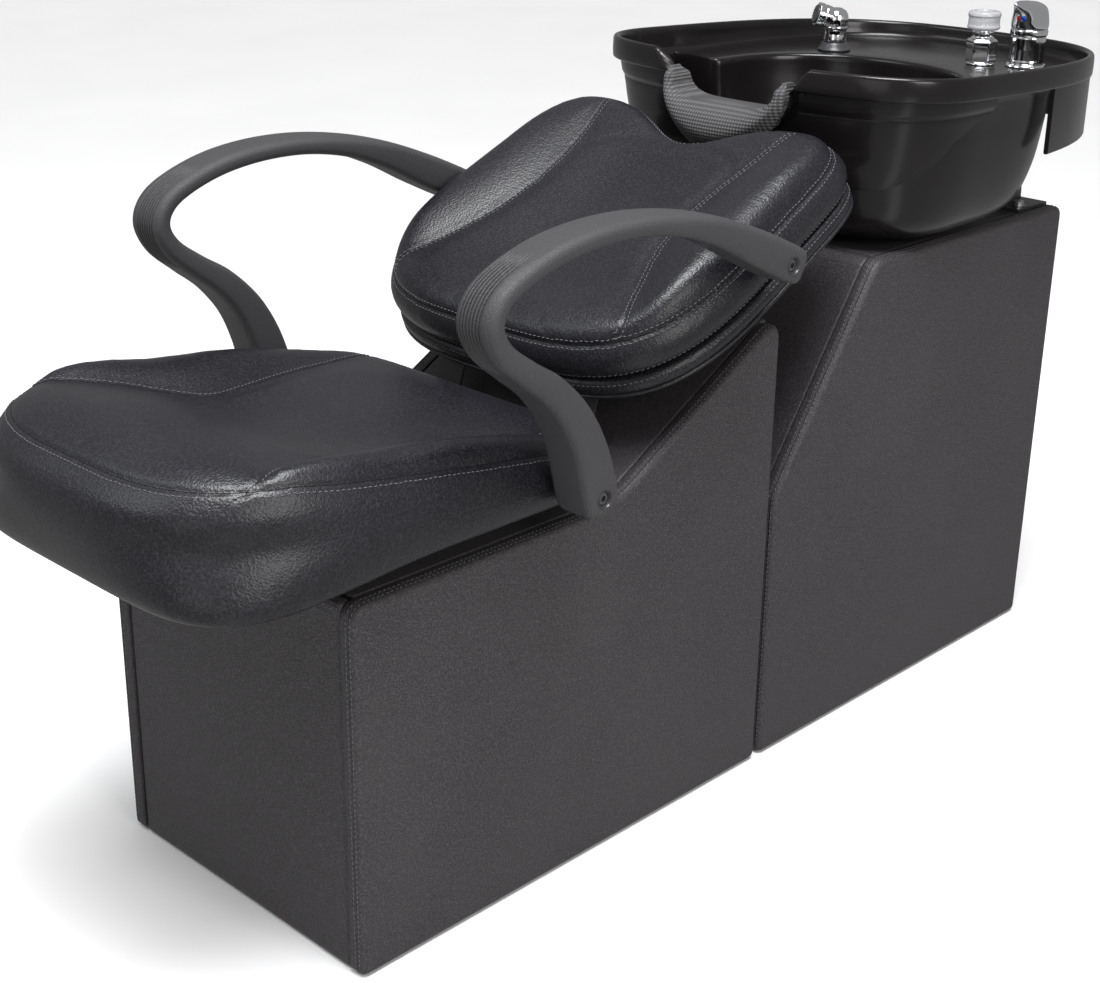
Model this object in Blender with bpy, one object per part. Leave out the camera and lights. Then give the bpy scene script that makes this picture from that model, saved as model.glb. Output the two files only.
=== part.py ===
"""Shampoo backwash unit: padded seat on slide rails, low box base, pedestal and tilting bowl.

Metres, +Z up, the sitter faces -Y, the bowl is at +Y, X is across.
Everything is laid out in a working frame whose y=0 is the front face of the low base,
then moved by -Y_MID so that the origin is the middle of the footprint on the floor.
"""
import math
import bpy
import bmesh
from mathutils import Vector, Matrix

# ---------------------------------------------------------------- driving dimensions
Y_MID = 0.60875           # middle of the overall length in the working frame
GAP = 0.0004              # clearance left between neighbouring pieces
HALF_W = 0.215            # half width of both bases
PANEL_T = 0.022           # padded panel thickness
FLOOR = 0.0012            # height of the panels off the floor
DECK_Z = 0.440            # flat top of the low base
DECK_Y = 0.382            # where the slope starts
FRONT_END = 0.669         # rear face of the low base
SLOPE_Z = 0.604           # top of the slope
REAR_START = 0.678        # front face of the pedestal
REAR_KNEE = 0.366
REAR_TOP_Y = 0.864
REAR_TOP_Z = 0.635
REAR_END = 1.312

SEAT_BOT = 0.4790
SEAT_A = 0.2375           # seat half width
SEAT_Y0 = -0.2125
SEAT_Y1 = 0.384

BACK_ANG = math.radians(25.0)
BACK_O = (0.400, 0.610)   # y, z of the lower front edge of the backrest
BACK_A = 0.2410
BACK_S0 = -0.030
BACK_S1 = 0.436

ARM_XI = 0.2434
ARM_XO = 0.2984

RIM_Y0 = 0.8065           # front edge of the bowl
RIM_YC = 0.9914
RIM_Y1 = 1.4300          # back edge of the bowl
RIM_A = 0.279
RIM_N0 = 3.1              # roundness of the front and back halves of the outline
RIM_N1 = 2.94
RIM_Z = 0.8662
RIM_SLOPE = -0.0363
DECK_BOWL = 0.822         # tap deck inside the bowl
DECK_T = 0.0065
LIP_H = 0.030
APRON_Z = 0.738
BODY_Z = 0.6385
FLOOR_Z = 0.660
DRAIN_Y = 1.030
PIVOT_Y = 1.268
PIVOT_Z = 0.712

MIXER = (0.142, 1.293)
BREAKER = (0.088, 1.262)
SPRAY = (-0.119, 1.215)

# ---------------------------------------------------------------- scene reset
for o in list(bpy.data.objects):
    bpy.data.objects.remove(o, do_unlink=True)
for m in list(bpy.data.meshes):
    bpy.data.meshes.remove(m)
for m in list(bpy.data.materials):
    bpy.data.materials.remove(m)
COL = bpy.context.scene.collection
NODES = []


def material(name, color, rough, metal=0.0):
    m = bpy.data.materials.new(name)
    m.use_nodes = True
    b = m.node_tree.nodes["Principled BSDF"]
    b.inputs["Base Color"].default_value = (*color, 1.0)
    b.inputs["Roughness"].default_value = rough
    b.inputs["Metallic"].default_value = metal
    return m


VINYL = material("vinyl_black", (0.020, 0.021, 0.026), 0.42)
PANEL = material("vinyl_panel", (0.024, 0.024, 0.027), 0.50)
PU = material("moulded_pu", (0.016, 0.016, 0.018), 0.55)
ABS = material("bowl_abs", (0.022, 0.020, 0.022), 0.16)
GEL = material("gel_rubber", (0.10, 0.10, 0.105), 0.60)
CHROME = material("chrome_plate", (0.80, 0.81, 0.83), 0.08, 1.0)
STEEL = material("zinc_steel", (0.42, 0.43, 0.45), 0.38, 1.0)
PAINT = material("black_paint", (0.030, 0.030, 0.032), 0.45)
WOOD = material("plywood", (0.42, 0.31, 0.19), 0.70)
RUBBER = material("foot_rubber", (0.025, 0.025, 0.025), 0.80)
DARKPL = material("dark_plastic", (0.040, 0.040, 0.045), 0.35)
CLEAR = material("cap_plastic", (0.62, 0.63, 0.65), 0.22)
DOTRED = material("dot_red", (0.65, 0.05, 0.04), 0.35)


def link(name, verts, faces, mat, smooth=None):
    me = bpy.data.meshes.new(name)
    me.from_pydata([tuple(v) for v in verts], [], faces)
    me.update()
    o = bpy.data.objects.new(name, me)
    COL.objects.link(o)
    fix(o)
    if mat is not None:
        me.materials.append(mat)
        NODES.append(o)
    if smooth:
        set_smooth(o, smooth)
    return o


def fix(o):
    bm = bmesh.new()
    bm.from_mesh(o.data)
    bmesh.ops.remove_doubles(bm, verts=bm.verts, dist=1e-6)
    bmesh.ops.recalc_face_normals(bm, faces=bm.faces)
    bm.to_mesh(o.data)
    bm.free()
    o.data.update()


def set_smooth(o, deg):
    for p in o.data.polygons:
        p.use_smooth = True
    o.data.set_sharp_from_angle(angle=math.radians(deg))


def bake(o):
    """Apply every modifier of o."""
    dg = bpy.context.evaluated_depsgraph_get()
    me = bpy.data.meshes.new_from_object(o.evaluated_get(dg))
    old = o.data
    o.modifiers.clear()
    o.data = me
    me.name = o.name
    bpy.data.meshes.remove(old)
    return o


def boolean(o, cutter, op="DIFFERENCE", keep=False):
    m = o.modifiers.new("b", "BOOLEAN")
    m.operation = op
    m.solver = "EXACT"
    m.object = cutter
    bpy.context.view_layer.update()
    bake(o)
    if not keep:
        me = cutter.data
        bpy.data.objects.remove(cutter, do_unlink=True)
        bpy.data.meshes.remove(me)
    return o


def bevel(o, width, seg=2, angle=40):
    m = o.modifiers.new("bev", "BEVEL")
    m.width = width
    m.segments = seg
    m.limit_method = "ANGLE"
    m.angle_limit = math.radians(angle)
    bpy.context.view_layer.update()
    return bake(o)


def prism_x(name, poly, x0, x1, mat):
    """Extrude a (y, z) outline between x0 and x1."""
    n = len(poly)
    v = [(x0, y, z) for y, z in poly] + [(x1, y, z) for y, z in poly]
    f = [list(range(n)), list(range(n, 2 * n))]
    f += [[i, (i + 1) % n, n + (i + 1) % n, n + i] for i in range(n)]
    return link(name, v, f, mat)


def prism_z(name, poly, z0, z1, mat):
    n = len(poly)
    v = [(x, y, z0) for x, y in poly] + [(x, y, z1) for x, y in poly]
    f = [list(range(n)), list(range(n, 2 * n))]
    f += [[i, (i + 1) % n, n + (i + 1) % n, n + i] for i in range(n)]
    return link(name, v, f, mat)


def box(name, a, b, mat, bev=0.0, seg=2):
    poly = [(a[0], a[1]), (b[0], a[1]), (b[0], b[1]), (a[0], b[1])]
    o = prism_z(name, poly, a[2], b[2], mat)
    if bev:
        bevel(o, bev, seg)
        set_smooth(o, 40)
    return o


def loft(name, rings, mat, smooth=None, cap=True):
    n = len(rings[0])
    v = [p for r in rings for p in r]
    f = []
    for k in range(len(rings) - 1):
        for i in range(n):
            j = (i + 1) % n
            f.append([k * n + i, k * n + j, (k + 1) * n + j, (k + 1) * n + i])
    if cap:
        f.append(list(range(n)))
        f.append(list(range((len(rings) - 1) * n, len(rings) * n)))
    return link(name, v, f, mat, smooth)


def lathe(name, prof, centre, mat, axis=(0, 0, 1), seg=24, smooth=35):
    """prof: (radius, height) pairs along the axis; ends are capped where radius > 0."""
    q = Vector((0, 0, 1)).rotation_difference(Vector(axis).normalized())
    c = Vector(centre)
    v, f, rows = [], [], []
    for r, h in prof:
        if r < 1e-7:
            rows.append([len(v)])
            v.append(c + q @ Vector((0, 0, h)))
        else:
            row = []
            for i in range(seg):
                a = 2 * math.pi * i / seg
                row.append(len(v))
                v.append(c + q @ Vector((r * math.cos(a), r * math.sin(a), h)))
            rows.append(row)
    for a, b in zip(rows[:-1], rows[1:]):
        for i in range(seg):
            j = (i + 1) % seg
            if len(a) == 1:
                f.append([a[0], b[i], b[j]])
            elif len(b) == 1:
                f.append([a[i], a[j], b[0]])
            else:
                f.append([a[i], a[j], b[j], b[i]])
    if len(rows[0]) > 1:
        f.append(list(rows[0]))
    if len(rows[-1]) > 1:
        f.append(list(rows[-1]))
    return link(name, v, f, mat, smooth)


def ring_lathe(name, prof, centre, mat, axis=(0, 0, 1), seg=24, smooth=35):
    """Closed profile loop that never touches the axis: a ring."""
    q = Vector((0, 0, 1)).rotation_difference(Vector(axis).normalized())
    c = Vector(centre)
    n = len(prof)
    v, f = [], []
    for i in range(seg):
        a = 2 * math.pi * i / seg
        for r, h in prof:
            v.append(c + q @ Vector((r * math.cos(a), r * math.sin(a), h)))
    for i in range(seg):
        j = (i + 1) % seg
        for k in range(n):
            m = (k + 1) % n
            f.append([i * n + k, j * n + k, j * n + m, i * n + m])
    return link(name, v, f, mat, smooth)


def hexagon(name, r, z0, z1, centre, mat, hole=0.0):
    p = [(centre[0] + r * math.cos(math.pi / 6 + i * math.pi / 3),
          centre[1] + r * math.sin(math.pi / 6 + i * math.pi / 3)) for i in range(6)]
    o = prism_z(name, p, z0, z1, mat)
    bevel(o, r * 0.06, 1, 50)
    if hole:
        c = lathe("cut", [(hole, z0 - 0.01), (hole, z1 + 0.01)], (*centre, 0), None, seg=24, smooth=None)
        boolean(o, c)
    return o


def super_ring(a, b0, b1, yc, n0, n1, count, zf, inset=0.0):
    """Superellipse outline: b0,n0 rule the -Y half and b1,n1 the +Y half."""
    out = []
    for i in range(count):
        t = 2 * math.pi * i / count
        c, s = math.cos(t), math.sin(t)
        n = n1 if s >= 0 else n0
        b = (b1 if s >= 0 else b0) - inset
        aa = a - inset
        e = 2.0 / n
        x = aa * math.copysign(abs(c) ** e, c)
        y = yc + b * math.copysign(abs(s) ** e, s)
        out.append((x, y, zf(x, y)))
    return out


def even_ring(pts, count):
    """Re-space a closed outline evenly along its length, starting at +X and keeping symmetry."""
    P = [Vector(p) for p in pts] + [Vector(pts[0])]
    L = [0.0]
    for a, b in zip(P[:-1], P[1:]):
        L.append(L[-1] + (b - a).length)
    out = []
    k = 0
    for i in range(count):
        d = L[-1] * i / count
        while L[k + 1] < d:
            k += 1
        u = (d - L[k]) / max(L[k + 1] - L[k], 1e-12)
        out.append(tuple(P[k].lerp(P[k + 1], u)))
    return out


def smooth01(t):
    t = min(max(t, 0.0), 1.0)
    return t * t * (3 - 2 * t)


def round_poly(pts, radii, seg=5):
    """Round the corners of a 2-D outline."""
    n = len(pts)
    out = []
    for i in range(n):
        p0, p1, p2 = Vector(pts[i - 1]), Vector(pts[i]), Vector(pts[(i + 1) % n])
        r = radii[i] if isinstance(radii, (list, tuple)) else radii
        if r <= 0:
            out.append(tuple(p1))
            continue
        a, b = (p0 - p1), (p2 - p1)
        la, lb = a.length, b.length
        a.normalize(); b.normalize()
        ang = a.angle(b)
        d = min(r / math.tan(ang / 2), la * 0.45, lb * 0.45)
        q0, q2 = p1 + a * d, p1 + b * d
        for k in range(seg + 1):
            t = k / seg
            out.append(tuple((1 - t) ** 2 * q0 + 2 * t * (1 - t) * p1 + t * t * q2))
    return out


# ================================================================ low base under the seat
side_front = round_poly([(0.0, FLOOR), (0.0, DECK_Z), (DECK_Y, DECK_Z), (FRONT_END, SLOPE_Z), (FRONT_END, FLOOR)],
                        [0.010, 0.022, 0.16, 0.020, 0.010], 4)
for s, sd in ((1, "L"), (-1, "R")):
    x0, x1 = HALF_W - PANEL_T, HALF_W
    o = prism_x("front_side_panel_" + sd, side_front, min(s * x0, s * x1), max(s * x0, s * x1), PANEL)
    bevel(o, 0.007, 2, 60)
    set_smooth(o, 40)

XI = HALF_W - PANEL_T - GAP
o = box("front_face_panel", (-XI, 0.002, FLOOR), (XI, 0.020, DECK_Z - 0.003), PANEL, 0.006)
o = box("front_rear_panel", (-XI, FRONT_END - 0.018, FLOOR), (XI, FRONT_END - 0.001, 0.578), PANEL, 0.005)
# flat top board under the seat rails
box("front_top_board", (-XI, 0.020 + GAP, DECK_Z - 0.020), (XI, DECK_Y - 0.040, DECK_Z), WOOD, 0.002, 1)
# sloped padded deck behind the seat
sl = (SLOPE_Z - DECK_Z) / (FRONT_END - DECK_Y)


def deck_top(y):
    return DECK_Z + sl * max(0.0, y - DECK_Y) - 0.003


deck = [(DECK_Y - 0.040 + GAP, DECK_Z - 0.020), (DECK_Y - 0.040 + GAP, DECK_Z - 0.002), (DECK_Y - 0.012, DECK_Z - 0.001),
        (DECK_Y + 0.030, deck_top(DECK_Y + 0.030) + 0.002), (DECK_Y + 0.15, deck_top(DECK_Y + 0.15) + 0.002),
        (FRONT_END - 0.008, deck_top(FRONT_END - 0.008)), (FRONT_END - 0.001, deck_top(FRONT_END) - 0.008),
        (FRONT_END - 0.001, 0.578 + GAP), (FRONT_END - 0.020, 0.578 + GAP),
        (FRONT_END - 0.020, deck_top(FRONT_END - 0.020) - 0.024), (DECK_Y + 0.010, DECK_Z - 0.020)]
o = prism_x("front_slope_panel", deck, -XI, XI, PANEL)
bevel(o, 0.004, 2, 45)
set_smooth(o, 40)


def frame_shell(name, outer, inner, half, mat):
    o = prism_x(name, outer, -half, half, mat)
    c = prism_x("cut", inner, -(half - 0.018), half - 0.018, None)
    return boolean(o, c)


f_out = [(0.0208, 0.0068), (0.0208, 0.4192), (0.3560, 0.4192), (0.3905, 0.4192), (0.6480, 0.5560), (0.6480, 0.0068)]
f_in = [(0.038, -0.02), (0.038, 0.400), (0.388, 0.400), (0.630, 0.526), (0.630, -0.02)]
frame_shell("front_carcass", f_out, f_in, XI - GAP, WOOD)

# rubber glide strips under the carcass walls
for s, sd in ((1, "L"), (-1, "R")):
    box("front_glide_" + sd, (s * 0.1832 - 0.008, 0.030, 0.0), (s * 0.1832 + 0.008, 0.640, 0.0064), RUBBER, 0.0012, 1)

# slide rails (fixed), welded to two cross straps
rail = box("slide_rails", (-0.149, 0.030, DECK_Z + GAP), (0.149, 0.062, DECK_Z + 0.0030), STEEL)
boolean(rail, box("c", (-0.149, 0.303, DECK_Z + GAP), (0.149, 0.335, DECK_Z + 0.0030), None), "UNION")
for s in (-1, 1):
    xc = s * 0.130
    r = prism_z("r", [(xc - 0.019, 0.030), (xc + 0.019, 0.030), (xc + 0.019, 0.335), (xc - 0.019, 0.335)],
                DECK_Z + GAP, DECK_Z + 0.0150, None)
    boolean(r, box("c", (xc - 0.0125, 0.02, DECK_Z + 0.0045), (xc + 0.0125, 0.345, DECK_Z + 0.012), None))
    boolean(r, box("c", (xc - 0.0075, 0.02, DECK_Z + 0.011), (xc + 0.0075, 0.345, DECK_Z + 0.02), None))
    boolean(rail, r, "UNION")

# ================================================================ sliding seat
run = box("seat_runners", (-0.147, 0.085, DECK_Z + 0.0240), (0.147, 0.125, DECK_Z + 0.0290), STEEL)
boolean(run, box("c", (-0.147, 0.240, DECK_Z + 0.0240), (0.147, 0.280, DECK_Z + 0.0290), None), "UNION")
for s in (-1, 1):
    xc = s * 0.130
    # T-shaped runner: flange kept inside the rail, stem through the slot, head under the board
    poly = [(-0.0115, 0.0086), (0.0115, 0.0086), (0.0115, 0.0108), (0.0065, 0.0108), (0.0065, 0.0160),
            (0.017, 0.0160), (0.017, 0.0290), (-0.017, 0.0290), (-0.017, 0.0160), (-0.0065, 0.0160),
            (-0.0065, 0.0108), (-0.0115, 0.0108)]
    n = len(poly)
    y0, y1 = 0.075, 0.290
    v = [(xc + x, y0, DECK_Z + z) for x, z in poly] + [(xc + x, y1, DECK_Z + z) for x, z in poly]
    f = [list(range(n)), list(range(n, 2 * n))] + [[i, (i + 1) % n, n + (i + 1) % n, n + i] for i in range(n)]
    boolean(run, link("r", v, f, None), "UNION")

sb = [(x, y) for x, y, z in super_ring(SEAT_A - 0.030, 0.298 - 0.060, 0.298 - 0.034, 0.0855, 5.0, 8, 44, lambda x, y: 0)]
o = prism_z("seat_board", sb, 0.4694, SEAT_BOT - GAP, WOOD)


def seam_z(y):
    return 0.585 - 0.155 * max(0.0, y + 0.060) if y < 0.36 else 0.585 - 0.155 * 0.42


def seat_top(x, y, k):
    """k runs from 1 on the seam to 0 in the middle."""
    zs = seam_z(y)
    roll = 0.606 + (0.538 - 0.606) * smooth01((y + 0.055) / 0.150)
    side = zs + 0.026 + 0.006 * smooth01((0.02 - y) / 0.10)
    cx = smooth01((abs(x) - 0.095) / 0.085)
    mid = roll * (1 - cx) + side * cx
    edge = smooth01((1 - k) / 0.16)
    return zs * (1 - edge) + mid * edge


def seat_cushion():
    N = 44
    rings = []

    def ring(a, y0, y1, zf, n0=3.0):
        yc = 0.0855
        base = [(p[0], p[1]) for p in even_ring(super_ring(1, 1, 1, 0, n0, 9, 400, lambda x, y: 0), N)]
        out = []
        for u, w in base:
            x = a * u
            y = yc + (w * (yc - y0) if w < 0 else w * (y1 - yc))
            out.append((x, y, zf(x, y)))
        return out
    B = SEAT_BOT
    rings.append(ring(SEAT_A - 0.024, SEAT_Y0 + 0.052, SEAT_Y1 - 0.026, lambda x, y: B, 5.5))
    rings.append(ring(SEAT_A - 0.006, SEAT_Y0 + 0.030, SEAT_Y1 - 0.008, lambda x, y: B - 0.005, 5.5))
    rings.append(ring(SEAT_A, SEAT_Y0 + 0.020, SEAT_Y1 - 0.003, lambda x, y: B + 0.004, 5.0))
    rings.append(ring(SEAT_A + 0.002, SEAT_Y0 + 0.008, SEAT_Y1, lambda x, y: B + 0.25 * (seam_z(y) - B), 3.6))
    rings.append(ring(SEAT_A + 0.001, SEAT_Y0, SEAT_Y1, lambda x, y: B + 0.5 * (seam_z(y) - B), 2.9))
    rings.append(ring(SEAT_A - 0.006, SEAT_Y0 + 0.012, SEAT_Y1 - 0.003, lambda x, y: B + 0.78 * (seam_z(y) - B), 2.9))
    rings.append(ring(SEAT_A - 0.014, SEAT_Y0 + 0.040, SEAT_Y1 - 0.008, lambda x, y: seam_z(y)))
    for k in (0.93, 0.84, 0.72, 0.58, 0.42, 0.25, 0.10):
        a = (SEAT_A - 0.014) * k
        y0 = 0.0855 - (0.0855 - SEAT_Y0 - 0.040) * k
        y1 = 0.0855 + (SEAT_Y1 - 0.008 - 0.0855) * k
        rings.append(ring(a, y0, y1, lambda x, y, k=k: seat_top(x, y, k)))
    return loft("seat_cushion", rings, VINYL, 50)


seat_cushion()

# ---------------------------------------------------------------- backrest
CA, SA = math.cos(BACK_ANG), math.sin(BACK_ANG)


def bp(x, s, t):
    """Backrest local (across, along, out of the face) to the working frame."""
    return (x, BACK_O[0] + s * CA - t * SA, BACK_O[1] + s * SA + t * CA)


def back_outline(k, inset, N=52):
    """Outline in (x, s): rounded rectangle with a neck dip in its top edge."""
    a = BACK_A - inset
    s0, s1 = BACK_S0 + inset, BACK_S1 - inset
    sc = 0.5 * (s0 + s1)
    raw = super_ring(a, sc - s0, s1 - sc, sc, 3.0, 4.4, 400, lambda x, y: 0)
    pts = even_ring(raw, N)
    out = []
    for x, s, _ in pts:
        x, s = x * k, sc + (s - sc) * k
        top = smooth01((s - (sc + 0.02)) / (s1 - sc - 0.02))
        d = 0.048 * math.exp(-(x / 0.085) ** 2) * top
        out.append((x, s - d))
    return out


def back_loft(name, layers, mat):
    return loft(name, [[bp(x, s, t(x, s) if callable(t) else t) for x, s in back_outline(k, i)] for k, i, t in layers], mat, 50)


def face(h):
    """Crowned face: padded side wings, a long shallow hollow in the middle."""
    def f(x, s):
        mid = 1 - smooth01((abs(x) - 0.05) / 0.12)
        low = smooth01((s - 0.02) / 0.10) * (1 - smooth01((s - 0.33) / 0.10))
        return h - 0.020 * mid * low
    return f


back_loft("backrest_cushion",
          [(1, 0.012, -0.0446), (1, 0.004, -0.040), (1, 0.000, -0.026), (1, 0.003, -0.010), (1, 0.012, 0.0),
           (0.95, 0.012, face(0.019)), (0.87, 0.012, face(0.031)), (0.71, 0.012, face(0.032)),
           (0.50, 0.012, face(0.032)), (0.30, 0.012, face(0.030)), (0.10, 0.012, face(0.030))], VINYL)
back_loft("backrest_shell",
          [(1, 0.014, -0.0452), (1, 0.004, -0.050), (1, 0.002, -0.062), (1, 0.010, -0.0745), (0.9, 0.012, -0.0785), (0.5, 0.012, -0.0800)], PANEL)

# bent steel bracket: two legs under the board, up behind the seat and along the backrest, joined by a strap
t = 0.0050
inner = [(0.300, 0.4690), (0.4180, 0.4690), bp(0, 0.010, -0.0806)[1:], bp(0, 0.230, -0.0806)[1:]]
outer = [(0.300, 0.4690 - t), (0.4200, 0.4690 - t), bp(0, 0.006, -0.0806 - t)[1:], bp(0, 0.230, -0.0806 - t)[1:]]
leg = [inner[0], inner[1], inner[2], inner[3], outer[3], outer[2], (outer[1][0] + 0.003, outer[1][1]), outer[0]]
strap = [bp(0, 0.170, -0.0812)[1:], bp(0, 0.215, -0.0812)[1:], bp(0, 0.215, -0.0852)[1:], bp(0, 0.170, -0.0852)[1:]]
bkt = prism_x("back_bracket", strap, -0.115, 0.115, PAINT)
for s in (-1, 1):
    boolean(bkt, prism_x("c", leg, s * 0.11 - 0.02, s * 0.11 + 0.02, None), "UNION")


# ---------------------------------------------------------------- armrests
def catmull(P, per):
    out = []
    n = len(P)
    for i in range(n - 1):
        p0, p1, p2, p3 = P[max(i - 1, 0)], P[i], P[i + 1], P[min(i + 2, n - 1)]
        for k in range(per):
            t = k / per
            out.append(tuple(0.5 * (2 * b + (c - a) * t + (2 * a - 5 * b + 4 * c - d) * t * t + (3 * b - a - 3 * c + d) * t ** 3)
                             for a, b, c, d in zip(p0, p1, p2, p3)))
    out.append(tuple(P[-1]))
    return out


# centre line of the arm strap: y, z, in-plane thickness
ARM = [(0.276, 0.4850, 0.043), (0.270, 0.5140, 0.048), (0.256, 0.5590, 0.044), (0.234, 0.6005, 0.038), (0.201, 0.6370, 0.032),
       (0.165, 0.6630, 0.027), (0.133, 0.6890, 0.024), (0.1195, 0.7160, 0.022), (0.130, 0.7405, 0.020), (0.160, 0.7585, 0.019),
       (0.210, 0.7740, 0.019), (0.270, 0.7812, 0.019), (0.335, 0.7797, 0.020), (0.400, 0.7690, 0.024), (0.460, 0.7505, 0.032),
       (0.520, 0.7240, 0.040), (0.572, 0.7000, 0.042), (0.594, 0.6900, 0.040)]
FOOT_BOLT = (0.272, 0.504)
REAR_BOLT = (0.572, 0.698)


def arm_body(name, s, mat, per=2):
    P = catmull(ARM, per)
    xm, hw = 0.5 * (ARM_XI + ARM_XO), 0.5 * (ARM_XO - ARM_XI)
    rings = []
    n = len(P)
    for i, (y, z, t) in enumerate(P):
        a = Vector(P[max(i - 1, 0)][:2]); b = Vector(P[min(i + 1, n - 1)][:2])
        d = (b - a).normalized()
        nrm = Vector((-d.y, d.x))
        h = t / 2
        w = hw
        e = min(i, n - 1 - i)
        if e == 0:
            h *= 0.70; w = hw - 0.003
        r = min(0.007, h * 0.6)
        sec = []
        for cx, ch, a0 in ((1, 1, 0), (-1, 1, 90), (-1, -1, 180), (1, -1, 270)):
            for k in range(2):
                ang = math.radians(a0 + 90 * k)
                sec.append((cx * (w - r) + r * math.cos(ang), ch * (h - r) + r * math.sin(ang)))
        ring = []
        for u, v in sec:
            q = Vector((y, z)) + nrm * v
            ring.append((s * (xm + u), q.x, q.y))
        rings.append(ring)
    return loft(name, rings, mat, 50)


for s, sd in ((1, "L"), (-1, "R")):
    o = arm_body("armrest_" + sd, s, PU)
    for y, z in (FOOT_BOLT, REAR_BOLT):
        c = lathe("c", [(0.0095, 0.0), (0.0095, 0.0200)], (s * (ARM_XO - 0.009), y, z), None, axis=(s, 0, 0), seg=16, smooth=None)
        boolean(o, c)
        c = lathe("c", [(0.0043, 0.0), (0.0043, 0.080)], (s * (ARM_XI - 0.005), y, z), None, axis=(s, 0, 0), seg=12, smooth=None)
        boolean(o, c)
    set_smooth(o, 45)
    for (y, z), which in ((FOOT_BOLT, "foot"), (REAR_BOLT, "rear")):
        lathe("arm_bolt_%s_%s" % (which, sd), [(0.0038, -0.0410), (0.0038, 0.0006), (0.0075, 0.0006), (0.0075, 0.0072), (0.0040, 0.0072),
                        (0.0040, 0.0040), (0.0, 0.0040)], (s * (ARM_XO - 0.009), y, z), STEEL, axis=(s, 0, 0), seg=12)

# ================================================================ pedestal under the bowl
side_rear = round_poly([(REAR_START, FLOOR), (REAR_START, REAR_KNEE), (REAR_TOP_Y, REAR_TOP_Z), (REAR_END, REAR_TOP_Z), (REAR_END, FLOOR)],
                       [0.010, 0.05, 0.03, 0.016, 0.010], 4)
for s, sd in ((1, "L"), (-1, "R")):
    x0, x1 = HALF_W - PANEL_T, HALF_W
    o = prism_x("rear_side_panel_" + sd, side_rear, min(s * x0, s * x1), max(s * x0, s * x1), PANEL)
    bevel(o, 0.007, 2, 60)
    set_smooth(o, 40)
box("rear_front_panel", (-XI, REAR_START + 0.001, FLOOR), (XI, REAR_START + 0.018, REAR_KNEE - 0.006), PANEL, 0.005)
dy, dz = REAR_TOP_Y - REAR_START, REAR_TOP_Z - REAR_KNEE
ln = math.hypot(dy, dz)
ny, nz = -dz / ln, dy / ln
sp = [(REAR_START + 0.001, REAR_KNEE - 0.006 + GAP), (REAR_START + 0.002 + 0.001, REAR_KNEE + 0.002),
      (REAR_TOP_Y - 0.006, REAR_TOP_Z - 0.010), (REAR_TOP_Y + 0.004, REAR_TOP_Z - 0.002), (REAR_TOP_Y + 0.016, REAR_TOP_Z - 0.002),
      (REAR_TOP_Y + 0.016, REAR_TOP_Z - 0.020), (REAR_START + 0.026, REAR_KNEE - 0.006 + GAP)]
o = prism_x("rear_slant_panel", sp, -XI, XI, PANEL)
bevel(o, 0.003, 2, 35)
set_smooth(o, 40)
top = box("rear_top_panel", (-XI, REAR_TOP_Y + 0.016 + GAP, REAR_TOP_Z - 0.020), (XI, REAR_END - 0.002, REAR_TOP_Z - 0.0005), PANEL, 0.004)
hole = [(x, y) for x, y, z in super_ring(0.052, 0.058, 0.052, DRAIN_Y - 0.006, 2, 2, 28, lambda x, y: 0)]
boolean(top, prism_z("cut", hole, 0.55, 0.70, None))
set_smooth(top, 40)
box("rear_access_panel", (-XI, REAR_END - 0.018, FLOOR), (XI, REAR_END - 0.001, REAR_TOP_Z - 0.020 - GAP), PANEL, 0.005)
r_out = [(0.6970, 0.0068), (0.6970, 0.3600), (0.7060, 0.3600), (0.8796, 0.6110), (0.8796, 0.6144), (1.2930, 0.6144), (1.2930, 0.0068)]
r_in = [(0.715, -0.02), (0.715, 0.350), (0.890, 0.596), (1.275, 0.596), (1.275, -0.02)]
o = frame_shell("rear_carcass", r_out, r_in, XI - GAP, WOOD)
boolean(o, prism_z("cut", hole, 0.55, 0.70, None))
# service opening behind the access panel
boolean(o, box("cut", (-0.14, 1.20, 0.10), (0.14, 1.35, 0.50), None))
for s, sd in ((1, "L"), (-1, "R")):
    box("rear_glide_" + sd, (s * 0.1832 - 0.008, 0.705, 0.0), (s * 0.1832 + 0.008, 1.285, 0.0064), RUBBER, 0.0012, 1)
# a flat bar joins the two bases inside, close to the floor
box("base_tie_bar", (-0.060, 0.610, 0.0700), (0.060, 0.740, 0.0760), PAINT, 0.001, 1)
for nm in ("front_rear_panel", "rear_front_panel", "front_carcass", "rear_carcass"):
    boolean(bpy.data.objects[nm], box("cut", (-0.0604, 0.60, 0.0696), (0.0604, 0.75, 0.0764), None))

# ================================================================ bowl


def rim_z(x, y):
    return RIM_Z + RIM_SLOPE * (y - RIM_Y0)


NB = 48


def rim_ring(inset, zf):
    raw = super_ring(RIM_A, RIM_YC - RIM_Y0, RIM_Y1 - RIM_YC, RIM_YC, RIM_N0, RIM_N1, 720, lambda x, y: 0, inset)
    return [(x, y, zf(x, y)) for x, y, _ in even_ring(raw, NB)]


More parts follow.
